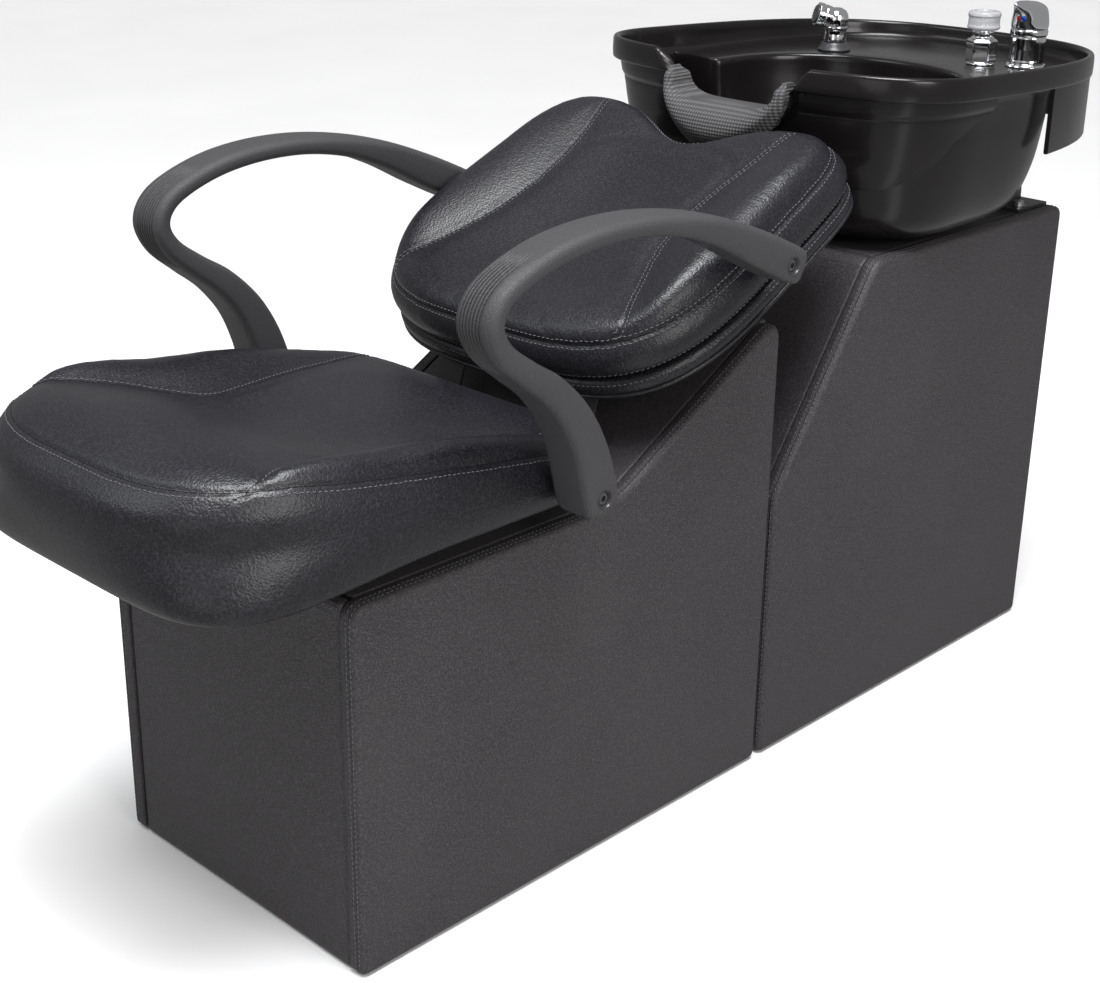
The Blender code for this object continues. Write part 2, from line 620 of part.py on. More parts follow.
def bowl():
    lip = loft("bowl_shell", [rim_ring(0.002, lambda x, y: rim_z(x, y) - LIP_H), rim_ring(0.0, lambda x, y: rim_z(x, y) - LIP_H + 0.002),
                              rim_ring(0.0, lambda x, y: rim_z(x, y) - 0.003), rim_ring(0.0015, lambda x, y: rim_z(x, y) - 0.0008),
                              rim_ring(0.004, rim_z)], ABS)
    # hanging skirt round the tap deck
    sk = loft("sk", [rim_ring(0.003, lambda x, y: APRON_Z), rim_ring(0.003, lambda x, y: rim_z(x, y) - LIP_H + 0.004)], None)
    boolean(sk, loft("c", [rim_ring(0.009, lambda x, y: APRON_Z - 0.01), rim_ring(0.009, lambda x, y: rim_z(x, y))], None))
    boolean(sk, box("c", (-0.4, 0.7, 0.6), (0.4, 1.148, 1.0), None))
    boolean(lip, sk, "UNION")

    def body_ring(a, y0, y1, n0, n1, zf, inset=0.0):
        yc = 1.02
        raw = super_ring(a, yc - y0, y1 - yc, yc, n0, n1, 720, lambda x, y: 0, inset)
        return [(x, y, zf(x, y)) for x, y, _ in even_ring(raw, NB)]
    outer = [(0.150, 0.930, 1.140, 2.4, 2.4, BODY_Z), (0.190, 0.900, 1.172, 2.7, 2.7, BODY_Z + 0.0025), (0.216, 0.877, 1.198, 2.9, 3.0, BODY_Z + 0.010),
             (0.234, 0.860, 1.216, 3.0, 3.3, BODY_Z + 0.023), (0.246, 0.848, 1.226, 3.1, 3.5, BODY_Z + 0.044),
             (0.255, 0.836, 1.233, 3.1, 3.6, BODY_Z + 0.085), (0.262, 0.826, 1.237, 3.1, 3.6, BODY_Z + 0.140), (0.266, 0.819, 1.238, 3.1, 3.6, 0.8440)]
    b = loft("body", [body_ring(a, y0, y1, n0, n1, lambda x, y, z=z: z) for a, y0, y1, n0, n1, z in outer], None)
    boolean(lip, b, "UNION")
    # tap deck slab, and the bosses that the tilting bracket is screwed to
    boolean(lip, loft("c", [rim_ring(0.005, lambda x, y: DECK_BOWL - DECK_T), rim_ring(0.005, lambda x, y: DECK_BOWL + 0.004)], None), "UNION")
    for s in (-1, 1):
        boolean(lip, box("c", (s * 0.070 - 0.014, 1.190, 0.750), (s * 0.070 + 0.014, PIVOT_Y - 0.0280, 0.790), None), "UNION")
    # space above the tap deck
    boolean(lip, loft("c", [rim_ring(0.0085, lambda x, y: DECK_BOWL), rim_ring(0.0060, lambda x, y: rim_z(x, y) - 0.006), rim_ring(0.0060, lambda x, y: 0.95)], None))
    # basin: wide in front of the step, arched behind it
    inn = [(0.060, 0.985, 1.075, 2.0, 2.0, FLOOR_Z), (0.130, 0.935, 1.110, 2.3, 2.2, FLOOR_Z + 0.005), (0.185, 0.900, 1.145, 2.6, 2.4, FLOOR_Z + 0.020),
           (0.217, 0.872, 1.170, 2.8, 2.4, FLOOR_Z + 0.052), (0.238, 0.848, 1.187, 2.9, 2.4, FLOOR_Z + 0.105),
           (0.2530, 0.8295, 1.202, 3.0, 2.4, DECK_BOWL + 0.02)]
    c1 = loft("c1", [body_ring(a, y0, y1, n0, n1, lambda x, y, z=z: z) for a, y0, y1, n0, n1, z in inn], None)
    # the shoulders of the deck stay solid beside the arch
    for s in (-1, 1):
        sh = [(s * 0.300, 1.012), (s * 0.190, 1.012), (s * 0.182, 1.020)]
        for k in range(1, 9):
            u = k / 8
            ang = u * math.pi / 2
            sh.append((s * 0.182 * math.cos(ang) ** 0.92, 1.020 + 0.178 * math.sin(ang) ** 0.92))
        sh += [(0.0, 1.30), (s * 0.300, 1.30)]
        boolean(c1, prism_z("c", sh, 0.60, 0.90, None))
    boolean(lip, c1)
    # neck notch through the front wall
    nt = [(-0.150, 0.95), (-0.1150, 0.868)]
    zc, a, bb = 0.832, 0.0955, 0.068
    for k in range(17):
        ang = math.pi + math.pi * k / 16
        nt.append((a * math.cos(ang), zc + bb * math.sin(ang)))
    nt += [(0.1150, 0.868), (0.150, 0.95)]
    n = len(nt)
    v = [(x, 0.70, z) for x, z in nt] + [(x, 0.885, z) for x, z in nt]
    f = [list(range(n)), list(range(n, 2 * n))] + [[i, (i + 1) % n, n + (i + 1) % n, n + i] for i in range(n)]
    boolean(lip, link("c", v, f, None))
    # holes: drain, tap, breaker, sprayer
    for x, y, r, z0, z1 in ((0, DRAIN_Y, 0.0236, 0.60, 0.72), (*MIXER, 0.0170, 0.70, 0.85), (*BREAKER, 0.0105, 0.70, 0.85), (*SPRAY, 0.0150, 0.70, 0.85)):
        boolean(lip, lathe("c", [(r, z0), (r, z1)], (x, y, 0), None, seg=20, smooth=None))
    # pocket for the nut under the sprayer
    boolean(lip, lathe("c", [(0.0275, 0.60), (0.0275, DECK_BOWL - DECK_T)], (*SPRAY, 0), None, seg=20, smooth=None))
    set_smooth(lip, 32)
    return lip


bowl()

# gel neck rest clipped over the notch
NR = []
zc, a, bb = 0.832, 0.0955, 0.068
segs = 16
for k in range(segs + 1):
    ang = math.pi + math.pi * k / segs
    u = math.sin(math.pi * k / segs)
    ox, oz = (a - GAP) * math.cos(ang), zc + (bb - GAP) * math.sin(ang)
    ix, iz = (a - 0.012 - 0.003 * u) * math.cos(ang), zc + (bb - 0.012 - 0.034 * u) * math.sin(ang) + 0.004
    # lips in front of and behind the wall
    ex, ez = (a + 0.002 + 0.004 * u) * math.cos(ang), zc + (bb + 0.001 + 0.005 * u) * math.sin(ang)
    d = 0.006 + 0.012 * u
    f0 = RIM_Y0 - 0.0025
    NR.append([(ex, f0 - 0.5 * d, ez), (ix, f0 - 0.002 - d, iz), (ix, 0.828 + 1.6 * d, iz), (ox, 0.832 + 1.2 * d, oz), (ox, f0, oz)])
loft("neck_rest", NR, GEL, 55)

# drain set
ring_lathe("drain_flange", [(0.0175, -0.016), (0.0228, -0.016), (0.0228, 0.0004), (0.0330, 0.0004), (0.0330, 0.0016), (0.0300, 0.0028), (0.0200, 0.0010), (0.0175, -0.002)],
           (0, DRAIN_Y, FLOOR_Z + 0.0004), CHROME, seg=22)
lathe("strainer_basket", [(0.0, -0.0100), (0.0150, -0.0100), (0.0168, -0.0060), (0.0170, 0.0016), (0.0190, 0.0016), (0.0190, 0.0030),
                               (0.0150, 0.0032), (0.0140, -0.0075), (0.0040, -0.0078), (0.0034, 0.0040), (0.0055, 0.0062), (0.0, 0.0072)],
           (0, DRAIN_Y, FLOOR_Z + 0.0006), CHROME, seg=18)
ring_lathe("drain_locknut", [(0.0254, 0.0), (0.0345, 0.0), (0.0345, 0.007), (0.0254, 0.007)], (0, DRAIN_Y, BODY_Z - 0.0074), DARKPL, seg=8, smooth=20)
ring_lathe("drain_tailpiece", [(0.0150, -0.105), (0.0172, -0.105), (0.0172, -0.0180), (0.0226, -0.0180), (0.0226, -0.0168), (0.0150, -0.0168)],
           (0, DRAIN_Y, FLOOR_Z + 0.0004), CHROME, seg=20)

# tilting bracket
BX = 0.150
fx = []
base = box("bowl_mount_base", (-BX - 0.045, 1.225, REAR_TOP_Z), (BX + 0.045, 1.300, REAR_TOP_Z + 0.0040), PAINT)
for s in (-1, 1):
    ear = round_poly([(PIVOT_Y - 0.030, REAR_TOP_Z + 0.002), (PIVOT_Y - 0.022, PIVOT_Z + 0.020), (PIVOT_Y + 0.022, PIVOT_Z + 0.020), (PIVOT_Y + 0.030, REAR_TOP_Z + 0.002)],
                     [0, 0.018, 0.018, 0], 4)
    e = prism_x("e", ear, min(s * BX, s * (BX + 0.005)), max(s * BX, s * (BX + 0.005)), None)
    boolean(base, e, "UNION")
boolean(base, lathe("c", [(0.0066, -0.3), (0.0066, 0.3)], (0, PIVOT_Y, PIVOT_Z), None, axis=(1, 0, 0), seg=20, smooth=None))
for s in (-1, 1):
    boolean(base, lathe("c", [(0.0046, 0.60), (0.0046, 0.66)], (s * 0.181, 1.247, 0), None, seg=14, smooth=None))
for s, sd in ((1, "L"), (-1, "R")):
    lathe("mount_bolt_" + sd, [(0.0042, -0.028), (0.0042, 0.0004), (0.0100, 0.0004), (0.0100, 0.0020), (0.0078, 0.0021), (0.0078, 0.0068), (0.0, 0.0074)],
          (s * 0.181, 1.247, REAR_TOP_Z + 0.0040), CHROME, seg=12)
for s in (-1, 1):
    boolean(bpy.data.objects["rear_top_panel"], lathe("c", [(0.0046, 0.58), (0.0046, 0.66)], (s * 0.181, 1.247, 0), None, seg=14, smooth=None))
    boolean(bpy.data.objects["rear_carcass"], lathe("c", [(0.0048, 0.58), (0.0048, 0.66)], (s * 0.181, 1.247, 0), None, seg=14, smooth=None))
# moving half: cross channel under the tap deck with two cheeks on the pin
IB = BX - 0.0006
mv = box("tilt_bracket", (-IB, PIVOT_Y - 0.0276, 0.6900), (IB, PIVOT_Y - 0.0236, 0.7960), PAINT)
for s in (-1, 1):
    ck = round_poly([(PIVOT_Y - 0.0266, 0.7860), (PIVOT_Y - 0.0266, PIVOT_Z - 0.016), (PIVOT_Y + 0.0150, PIVOT_Z - 0.016), (PIVOT_Y + 0.0150, PIVOT_Z + 0.016)],
                    [0, 0, 0.013, 0.013], 4)
    boolean(mv, prism_x("e", ck, min(s * (IB - 0.0005), s * (IB - 0.0055)), max(s * (IB - 0.0005), s * (IB - 0.0055)), None), "UNION")
boolean(mv, lathe("c", [(0.0066, -0.3), (0.0066, 0.3)], (0, PIVOT_Y, PIVOT_Z), None, axis=(1, 0, 0), seg=20, smooth=None))
lathe("tilt_pin", [(0.0, -0.162), (0.0095, -0.162), (0.0095, -0.1556), (0.0062, -0.1556), (0.0062, 0.1556), (0.0095, 0.1556), (0.0095, 0.162), (0.0, 0.162)],
      (0, PIVOT_Y, PIVOT_Z), STEEL, axis=(1, 0, 0), seg=20)

# ---------------------------------------------------------------- tap with lever
mx, my = MIXER
z0 = DECK_BOWL
ring_lathe("tap_base_flange", [(0.0172, 0.0004), (0.0275, 0.0004), (0.0280, 0.0020), (0.0262, 0.0048), (0.0172, 0.0050)], (mx, my, z0), CHROME, seg=22)
lathe("tap_body", [(0.0, -0.052), (0.0140, -0.052), (0.0140, -0.0062), (0.0162, -0.0062), (0.0162, 0.0054), (0.0245, 0.0054), (0.0238, 0.0250), (0.0243, 0.0425), (0.0, 0.0425)],
      (mx, my, z0), CHROME, seg=22)
ring_lathe("tap_locknut", [(0.0168, 0.0), (0.0250, 0.0), (0.0250, 0.006), (0.0168, 0.006)], (mx, my, DECK_BOWL - DECK_T - 0.0064), STEEL, seg=6, smooth=20)
lathe("tap_collar", [(0.0, 0.0430), (0.0248, 0.0430), (0.0256, 0.0450), (0.0256, 0.0510), (0.0246, 0.0525), (0.0, 0.0525)], (mx, my, z0), CHROME, seg=22)


def tap_lever():
    """Dome over the collar drawn out into a beak towards the sitter."""
    N = 22
    rings = []
    prof = [(0.0535, 1.000, 0.0), (0.0600, 1.010, 0.02), (0.0680, 0.985, 0.10), (0.0760, 0.935, 0.35), (0.0830, 0.850, 0.80), (0.0880, 0.700, 1.00), (0.0915, 0.430, 0.95), (0.0930, 0.120, 0.60)]
    for z, k, b in prof:
        r = []
        for i in range(N):
            t = 2 * math.pi * i / N
            c, s = math.cos(t), math.sin(t)
            rr = 0.0252 * k
            x, y = rr * c, rr * s
            if s < 0:
                w = abs(s) ** 3
                y -= b * 0.030 * w * (1.0 - 0.15 * k)
                x *= 1 - 0.35 * b * w
            lift = 0.004 * b * max(0.0, -s) ** 2
            r.append((mx + x, my + y, z0 + z + lift))
        rings.append(r)
    return loft("tap_lever", rings, CHROME, 60)


tap_lever()
lathe("tap_dot", [(0.0, 0.0), (0.0036, 0.0), (0.0036, 0.0008), (0.0, 0.0010)], (mx, my - 0.0279, z0 + 0.0640), DOTRED, axis=(0, -1, 0), seg=12)

# ---------------------------------------------------------------- vacuum breaker
bx, by = BREAKER
hexagon("breaker_hex_body", 0.0215, z0 + 0.0034, z0 + 0.0350, (bx, by), CHROME)
lathe("breaker_stem", [(0.0, -0.045), (0.0098, -0.045), (0.0098, 0.0004), (0.0185, 0.0004), (0.0185, 0.0030), (0.0, 0.0030)], (bx, by, z0), CHROME, seg=18)
lathe("breaker_neck", [(0.0, 0.0354), (0.0165, 0.0354), (0.0145, 0.0380), (0.0145, 0.0476), (0.0, 0.0476)], (bx, by, z0), CHROME, seg=18)
ring_lathe("breaker_locknut", [(0.0119, 0.0), (0.0180, 0.0), (0.0180, 0.006), (0.0119, 0.006)], (bx, by, DECK_BOWL - DECK_T - 0.0064), STEEL, seg=6, smooth=20)
lathe("breaker_cap", [(0.0, 0.0480), (0.0225, 0.0480), (0.0246, 0.0510), (0.0246, 0.0680), (0.0220, 0.0725), (0.0120, 0.0745), (0.0, 0.0745)], (bx, by, z0), CLEAR, seg=22)

# ---------------------------------------------------------------- sprayer
sx, sy = SPRAY
ring_lathe("spray_holder", [(0.0140, -0.0300), (0.0147, -0.0300), (0.0147, 0.0004), (0.0255, 0.0004), (0.0262, 0.0030), (0.0240, 0.0060), (0.0178, 0.0320), (0.0140, 0.0320)], (sx, sy, z0), DARKPL, seg=20)
SD = Vector((-0.62, -0.74, 0.25)).normalized()
hd = lathe("spray_head", [(0.0, -0.0600), (0.0112, -0.0600), (0.0128, -0.0560), (0.0132, 0.0326), (0.0165, 0.0330), (0.0180, 0.0400), (0.0182, 0.0480), (0.0150, 0.0580), (0.0080, 0.0635), (0.0, 0.0650)],
           (sx, sy, z0), CHROME, seg=18)
noz = lathe("n", [(0.0, 0.0), (0.0125, 0.0), (0.0150, 0.0120), (0.0165, 0.0260), (0.0165, 0.0300), (0.0, 0.0300)], Vector((sx, sy, z0 + 0.0470)) - 0.002 * SD, None, axis=SD, seg=18)
boolean(hd, noz, "UNION")
set_smooth(hd, 35)
lathe("spray_face", [(0.0, 0.0), (0.0140, 0.0), (0.0140, 0.0012), (0.0120, 0.0020), (0.0, 0.0020)], Vector((sx, sy, z0 + 0.0470)) + (0.0280 + 0.0003) * SD, DARKPL, axis=SD, seg=18)
ring_lathe("spray_locknut", [(0.0166, 0.0), (0.0240, 0.0), (0.0240, 0.006), (0.0166, 0.006)], (sx, sy, DECK_BOWL - DECK_T - 0.0064), DARKPL, seg=8, smooth=20)

# ---------------------------------------------------------------- move to the final frame
for o in NODES:
    o.data.transform(Matrix.Translation((0, -Y_MID, 0)))
    o.data.update()
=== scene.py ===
import bpy, bmesh, math
import numpy as np
from mathutils import Vector, Matrix
from mathutils.bvhtree import BVHTree
from mathutils.kdtree import KDTree


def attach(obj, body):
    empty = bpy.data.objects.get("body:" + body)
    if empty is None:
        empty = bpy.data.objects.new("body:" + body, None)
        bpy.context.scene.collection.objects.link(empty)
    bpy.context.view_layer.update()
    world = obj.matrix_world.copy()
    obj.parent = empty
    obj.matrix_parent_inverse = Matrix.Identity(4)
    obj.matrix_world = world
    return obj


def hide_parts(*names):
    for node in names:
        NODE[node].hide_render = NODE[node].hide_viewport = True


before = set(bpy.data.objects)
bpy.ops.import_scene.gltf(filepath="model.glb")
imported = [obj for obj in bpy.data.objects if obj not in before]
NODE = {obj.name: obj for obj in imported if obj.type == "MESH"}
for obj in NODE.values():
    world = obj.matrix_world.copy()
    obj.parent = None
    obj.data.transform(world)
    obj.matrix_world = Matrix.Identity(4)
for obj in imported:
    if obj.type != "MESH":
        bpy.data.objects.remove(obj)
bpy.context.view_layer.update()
SCN = bpy.context.scene
COL = SCN.collection
YM = 0.60875                # the working frame's y minus the row frame's y


# ================================================================ camera, light, floor
def camera():
    yaw, pitch, roll = math.radians(44.07), math.radians(22.099), math.radians(0.871)
    fw = Vector((-math.sin(yaw) * math.cos(pitch), math.cos(yaw) * math.cos(pitch), -math.sin(pitch)))
    r0 = Vector((math.cos(yaw), math.sin(yaw), 0))
    up0 = r0.cross(fw)
    R = math.cos(roll) * r0 + math.sin(roll) * up0
    U = -math.sin(roll) * r0 + math.cos(roll) * up0
    cd = bpy.data.cameras.new("camera")
    cd.sensor_width = 36.0
    cd.lens = 59.74
    cd.clip_start, cd.clip_end = 0.05, 50
    c = bpy.data.objects.new("camera", cd)
    COL.objects.link(c)
    p = (1.473, -1.024 - YM, 1.222)
    c.matrix_world = Matrix(((R.x, U.x, -fw.x, p[0]), (R.y, U.y, -fw.y, p[1]), (R.z, U.z, -fw.z, p[2]), (0, 0, 0, 1)))
    SCN.camera = c


camera()


def area(name, loc, target, size, power, color=(1, 1, 1), size_y=None):
    ld = bpy.data.lights.new(name, "AREA")
    ld.energy = power
    ld.color = color
    ld.shape = "RECTANGLE"
    ld.size = size
    ld.size_y = size_y or size
    o = bpy.data.objects.new(name, ld)
    COL.objects.link(o)
    o.location = loc
    o.rotation_euler = (Vector(target) - Vector(loc)).to_track_quat("-Z", "Y").to_euler()
    return o


area("key_softbox", (-1.6, -2.6, 3.0), (0, -0.1, 0.5), 1.6, 26, (0.93, 0.96, 1.0))
area("top_softbox", (0.7, -0.5, 3.3), (0, 0, 0.5), 1.3, 95, (0.96, 0.98, 1.0))
area("side_softbox", (3.4, -0.7, 1.9), (0, -0.35, 0.45), 1.5, 54, (1.0, 0.97, 0.96))
area("front_fill", (1.5, -3.6, 1.0), (0, -0.2, 0.35), 1.8, 10, (1.0, 0.98, 0.97))
sd_ = bpy.data.lights.new("overhead", "SUN")
sd_.energy = 2.3
sd_.angle = math.radians(34)
sun = bpy.data.objects.new("overhead", sd_)
COL.objects.link(sun)
sun.rotation_euler = Vector((0.14, -0.16, 0.97)).to_track_quat("Z", "Y").to_euler()


def studio():
    """Even pale surroundings, a little brighter low down, with one soft upright band for the plastic to mirror."""
    w = bpy.data.worlds.new("studio")
    SCN.world = w
    w.use_nodes = True
    t = w.node_tree
    bg = t.nodes["Background"]
    co = t.nodes.new("ShaderNodeTexCoord").outputs["Generated"]

    def dot(v):
        nd = t.nodes.new("ShaderNodeVectorMath")
        nd.operation = "DOT_PRODUCT"
        t.links.new(co, nd.inputs[0])
        nd.inputs[1].default_value = v
        return nd.outputs["Value"]

    def ramp(src, a, b, lo, hi):
        nd = t.nodes.new("ShaderNodeMapRange")
        nd.interpolation_type = "SMOOTHSTEP"
        t.links.new(src, nd.inputs["Value"])
        for k, v in (("From Min", a), ("From Max", b), ("To Min", lo), ("To Max", hi)):
            nd.inputs[k].default_value = v
        return nd.outputs[0]

    def calc(op, a, b):
        nd = t.nodes.new("ShaderNodeMath")
        nd.operation = op
        for q, v in enumerate((a, b)):
            if isinstance(v, float):
                nd.inputs[q].default_value = v
            else:
                t.links.new(v, nd.inputs[q])
        return nd.outputs[0]
    low = ramp(dot((0, 0, -1)), 0.10, 0.60, 0.0, 0.20)
    side = calc("ABSOLUTE", dot((0.54, 0.84, 0)), 0.0)
    band = calc("MULTIPLY", ramp(side, 0.02, 0.17, 1.0, 0.0), ramp(dot((0.84, -0.54, 0)), 0.30, 0.60, 0.0, 0.95))
    band = calc("MULTIPLY", band, ramp(dot((0, 0, -1)), 0.18, 0.42, 0.0, 1.0))
    t.links.new(calc("ADD", calc("ADD", low, band), 0.30), bg.inputs[1])
    bg.inputs[0].default_value = (1.0, 1.0, 1.0, 1)


studio()
SCN.view_settings.view_transform = "Standard"


# ================================================================ materials
class M:
    """Small helper for node materials. Coordinates are the object's own metres."""

    def __init__(self, name, color, rough, metal=0.0, spec=0.5, coat=0.0, coat_rough=0.1):
        self.m = bpy.data.materials.new(name)
        self.m.use_nodes = True
        self.t = self.m.node_tree
        self.b = self.t.nodes["Principled BSDF"]
        self.m.diffuse_color = (*color, 1)
        self.set("Base Color", (*color, 1))
        self.set("Roughness", rough)
        self.set("Metallic", metal)
        self.set("Specular IOR Level", spec)
        self.set("Coat Weight", coat)
        self.set("Coat Roughness", coat_rough)
        self.co = self.n("ShaderNodeTexCoord").outputs["Object"]

    def n(self, kind, **kw):
        nd = self.t.nodes.new(kind)
        for k, v in kw.items():
            setattr(nd, k, v)
        return nd

    def set(self, key, v):
        self.b.inputs[key].default_value = v

    def link(self, a, b):
        self.t.links.new(a, b)

    def scaled(self, s):
        mp = self.n("ShaderNodeMapping")
        mp.inputs["Scale"].default_value = s if isinstance(s, tuple) else (s, s, s)
        self.link(self.co, mp.inputs["Vector"])
        return mp.outputs[0]

    def noise(self, scale, detail=3.0, rough=0.5, vec=None):
        nd = self.n("ShaderNodeTexNoise")
        nd.inputs["Scale"].default_value = scale
        nd.inputs["Detail"].default_value = detail
        nd.inputs["Roughness"].default_value = rough
        self.link(vec or self.co, nd.inputs["Vector"])
        return nd.outputs["Fac"]

    def voronoi(self, scale, feature="SMOOTH_F1", vec=None):
        nd = self.n("ShaderNodeTexVoronoi", feature=feature)
        nd.inputs["Scale"].default_value = scale
        self.link(vec or self.co, nd.inputs["Vector"])
        return nd.outputs["Distance"]

    def remap(self, src, a, b, lo=0.0, hi=1.0):
        nd = self.n("ShaderNodeMapRange")
        nd.inputs["From Min"].default_value = lo
        nd.inputs["From Max"].default_value = hi
        nd.inputs["To Min"].default_value = a
        nd.inputs["To Max"].default_value = b
        self.link(src, nd.inputs["Value"])
        return nd.outputs[0]

    def math(self, op, a, b):
        nd = self.n("ShaderNodeMath", operation=op)
        for i, v in enumerate((a, b)):
            if isinstance(v, (int, float)):
                nd.inputs[i].default_value = v
            else:
                self.link(v, nd.inputs[i])
        return nd.outputs[0]

    def mix(self, fac, c1, c2):
        nd = self.n("ShaderNodeMix", data_type="RGBA")
        if isinstance(fac, (int, float)):
            nd.inputs[0].default_value = fac
        else:
            self.link(fac, nd.inputs[0])
        for i, c in ((6, c1), (7, c2)):
            if isinstance(c, tuple):
                nd.inputs[i].default_value = (*c, 1)
            else:
                self.link(c, nd.inputs[i])
        return nd.outputs[2]

    def bump(self, height, strength, dist, normal=None):
        nd = self.n("ShaderNodeBump")
        nd.inputs["Strength"].default_value = strength
        nd.inputs["Distance"].default_value = dist
        self.link(height, nd.inputs["Height"])
        if normal:
            self.link(normal, nd.inputs["Normal"])
        return nd.outputs[0]

    def out(self, key, src):
        self.link(src, self.b.inputs[key])


def edges(mt):
    """0 in hollows to 1 on edges, from the mesh itself."""
    return mt.n("ShaderNodeNewGeometry").outputs["Pointiness"]


def vinyl(name, c_lo, c_hi, r_lo, r_hi, grain=520.0, depth=0.00022, wrinkle=0.0, spec=0.45):
    mt = M(name, c_hi, r_lo, spec=spec)
    patch = mt.noise(7.0, 4.0, 0.55)
    fine = mt.noise(grain * 0.35, 2.0)
    cells = mt.voronoi(grain)
    base = mt.mix(mt.remap(patch, 0, 1, 0.35, 0.65), c_lo, c_hi)
    # base colour: a random patchy tone, with the grain's raised cell edges mixed towards a colour 2.6 times lighter, a
    # painted highlight on the grain crests
    mt.out("Base Color", mt.mix(mt.remap(cells, 0.0, 0.75, 0.25, 0.70), base, tuple(min(1.0, 2.6 * q) for q in c_hi)))
    cells2 = mt.voronoi(grain * 2.3)
    h = mt.math("ADD", cells, mt.math("MULTIPLY", cells2, 0.35))
    h = mt.math("ADD", h, mt.math("MULTIPLY", fine, 0.5))
    r = mt.math("ADD", mt.remap(patch, r_lo, r_hi, 0.3, 0.7), mt.math("MULTIPLY", cells, 0.10))
    mt.out("Roughness", r)
    nrm = mt.bump(h, 1.0, depth)
    if wrinkle:
        nrm = mt.bump(mt.noise(26.0, 3.0, 0.5), 1.0, wrinkle, nrm)
    mt.out("Normal", nrm)
    return mt.m


VINYL = vinyl("seat_vinyl", (0.0038, 0.0038, 0.0054), (0.0066, 0.0066, 0.0088), 0.31, 0.39, 430.0, 0.00042, 0.00008, 0.46)
PANELV = vinyl("panel_vinyl", (0.0190, 0.0170, 0.0188), (0.0250, 0.0224, 0.0246), 0.46, 0.56, 560.0, 0.00040, 0.0, 0.36)


def thread_mat():
    mt = M("thread", (0.085, 0.085, 0.094), 0.50)
    mt.out("Base Color", mt.mix(mt.noise(900.0, 2.0), (0.050, 0.050, 0.056), (0.140, 0.140, 0.152)))
    return mt.m


THREAD = thread_mat()


def seam_shade_mat():
    # near-black, low-sheen colour for the strips laid along the seams: painted shade standing in for the seam crease
    mt = M("seam_painted_shade", (0.0022, 0.0022, 0.0026), 0.7, spec=0.2)
    mt.out("Base Color", mt.mix(mt.noise(700.0, 2.0), (0.0015, 0.0015, 0.0018), (0.0040, 0.0040, 0.0046)))
    return mt.m


SEAM_SHADE = seam_shade_mat()


def pu_mat():
    mt = M("armrest_pu", (0.034, 0.032, 0.034), 0.54, spec=0.46)
    g = mt.voronoi(900.0)
    f = mt.noise(420.0, 4.0, 0.6)
    p = mt.noise(9.0, 4.0, 0.6)
    mt.out("Base Color", mt.mix(p, (0.030, 0.0285, 0.031), (0.042, 0.040, 0.043)))
    mt.out("Roughness", mt.remap(f, 0.52, 0.68, 0.3, 0.7))
    mt.out("Normal", mt.bump(mt.math("ADD", g, f), 1.0, 0.00050))
    return mt.m


PU = pu_mat()


def abs_mat():
    mt = M("bowl_abs", (0.005, 0.0045, 0.0045), 0.20, spec=0.30, coat=0.14, coat_rough=0.08)
    p = mt.noise(5.0, 4.0, 0.6)
    st = mt.noise(60.0, 3.0, 0.6, mt.scaled((1, 1, 9)))
    mt.out("Base Color", mt.mix(p, (0.0042, 0.0038, 0.0040), (0.0085, 0.0066, 0.0064)))
    mt.out("Roughness", mt.math("ADD", mt.remap(p, 0.15, 0.27, 0.3, 0.7), mt.math("MULTIPLY", st, 0.05)))
    n1 = mt.bump(mt.noise(20.0, 2.0), 1.0, 0.0005)
    mt.out("Normal", mt.bump(mt.noise(900.0, 2.0), 0.25, 0.00005, n1))
    return mt.m


ABS = abs_mat()


def gel_mat():
    """Grey rubber with a fine woven relief, its hollows painted darker and its crests painted lighter (painted shade
    and highlight).
    """
    mt = M("gel_rubber", (0.075, 0.073, 0.076), 0.62, spec=0.35)
    sep = mt.n("ShaderNodeSeparateXYZ")
    mt.link(mt.co, sep.inputs[0])
    k = 2 * math.pi / 0.0085
    a = mt.math("SINE", mt.math("MULTIPLY", mt.math("ADD", sep.outputs[0], sep.outputs[2]), k), 0.0)
    b = mt.math("SINE", mt.math("MULTIPLY", mt.math("SUBTRACT", sep.outputs[0], sep.outputs[2]), k), 0.0)
    wv = mt.math("MULTIPLY", a, b)
    hi = mt.remap(wv, 0.0, 1.0, -0.25, 0.6)
    f = mt.noise(700.0, 3.0, 0.6)
    # the weave's height drives the colour: painted shade in its hollows and painted highlight on its crests, scaled by
    # a random fine tone
    mt.out("Base Color", mt.mix(mt.math("MULTIPLY", hi, mt.remap(f, 0.6, 1.0)), (0.038, 0.037, 0.039), (0.120, 0.117, 0.120)))
    mt.out("Roughness", mt.remap(f, 0.55, 0.72))
    mt.out("Normal", mt.bump(mt.math("ADD", hi, mt.math("MULTIPLY", f, 0.3)), 0.8, 0.0012))
    return mt.m


GEL = gel_mat()


def chrome_mat(name="chrome", tint=(0.83, 0.84, 0.86), rough=0.07):
    mt = M(name, tint, rough, 1.0)
    f = mt.noise(40.0, 4.0, 0.6)
    mt.out("Roughness", mt.remap(f, rough * 0.6, rough * 1.7, 0.3, 0.7))
    mt.out("Base Color", mt.mix(f, tuple(c * 0.93 for c in tint), tint))
    mt.out("Normal", mt.bump(mt.noise(55.0, 2.0), 0.35, 0.00012))
    return mt.m


CHROME = chrome_mat()
STEEL = chrome_mat("zinc_steel", (0.46, 0.47, 0.49), 0.30)
BRASS = chrome_mat("brass", (0.72, 0.55, 0.30), 0.24)


def plain(name, lo, hi, r0, r1, scale, dist, spec=0.5):
    mt = M(name, hi, r0, spec=spec)
    f = mt.noise(scale, 4.0, 0.6)
    mt.out("Base Color", mt.mix(f, lo, hi))
    mt.out("Roughness", mt.remap(f, r0, r1, 0.3, 0.7))
    mt.out("Normal", mt.bump(f, 0.6, dist))
    return mt.m


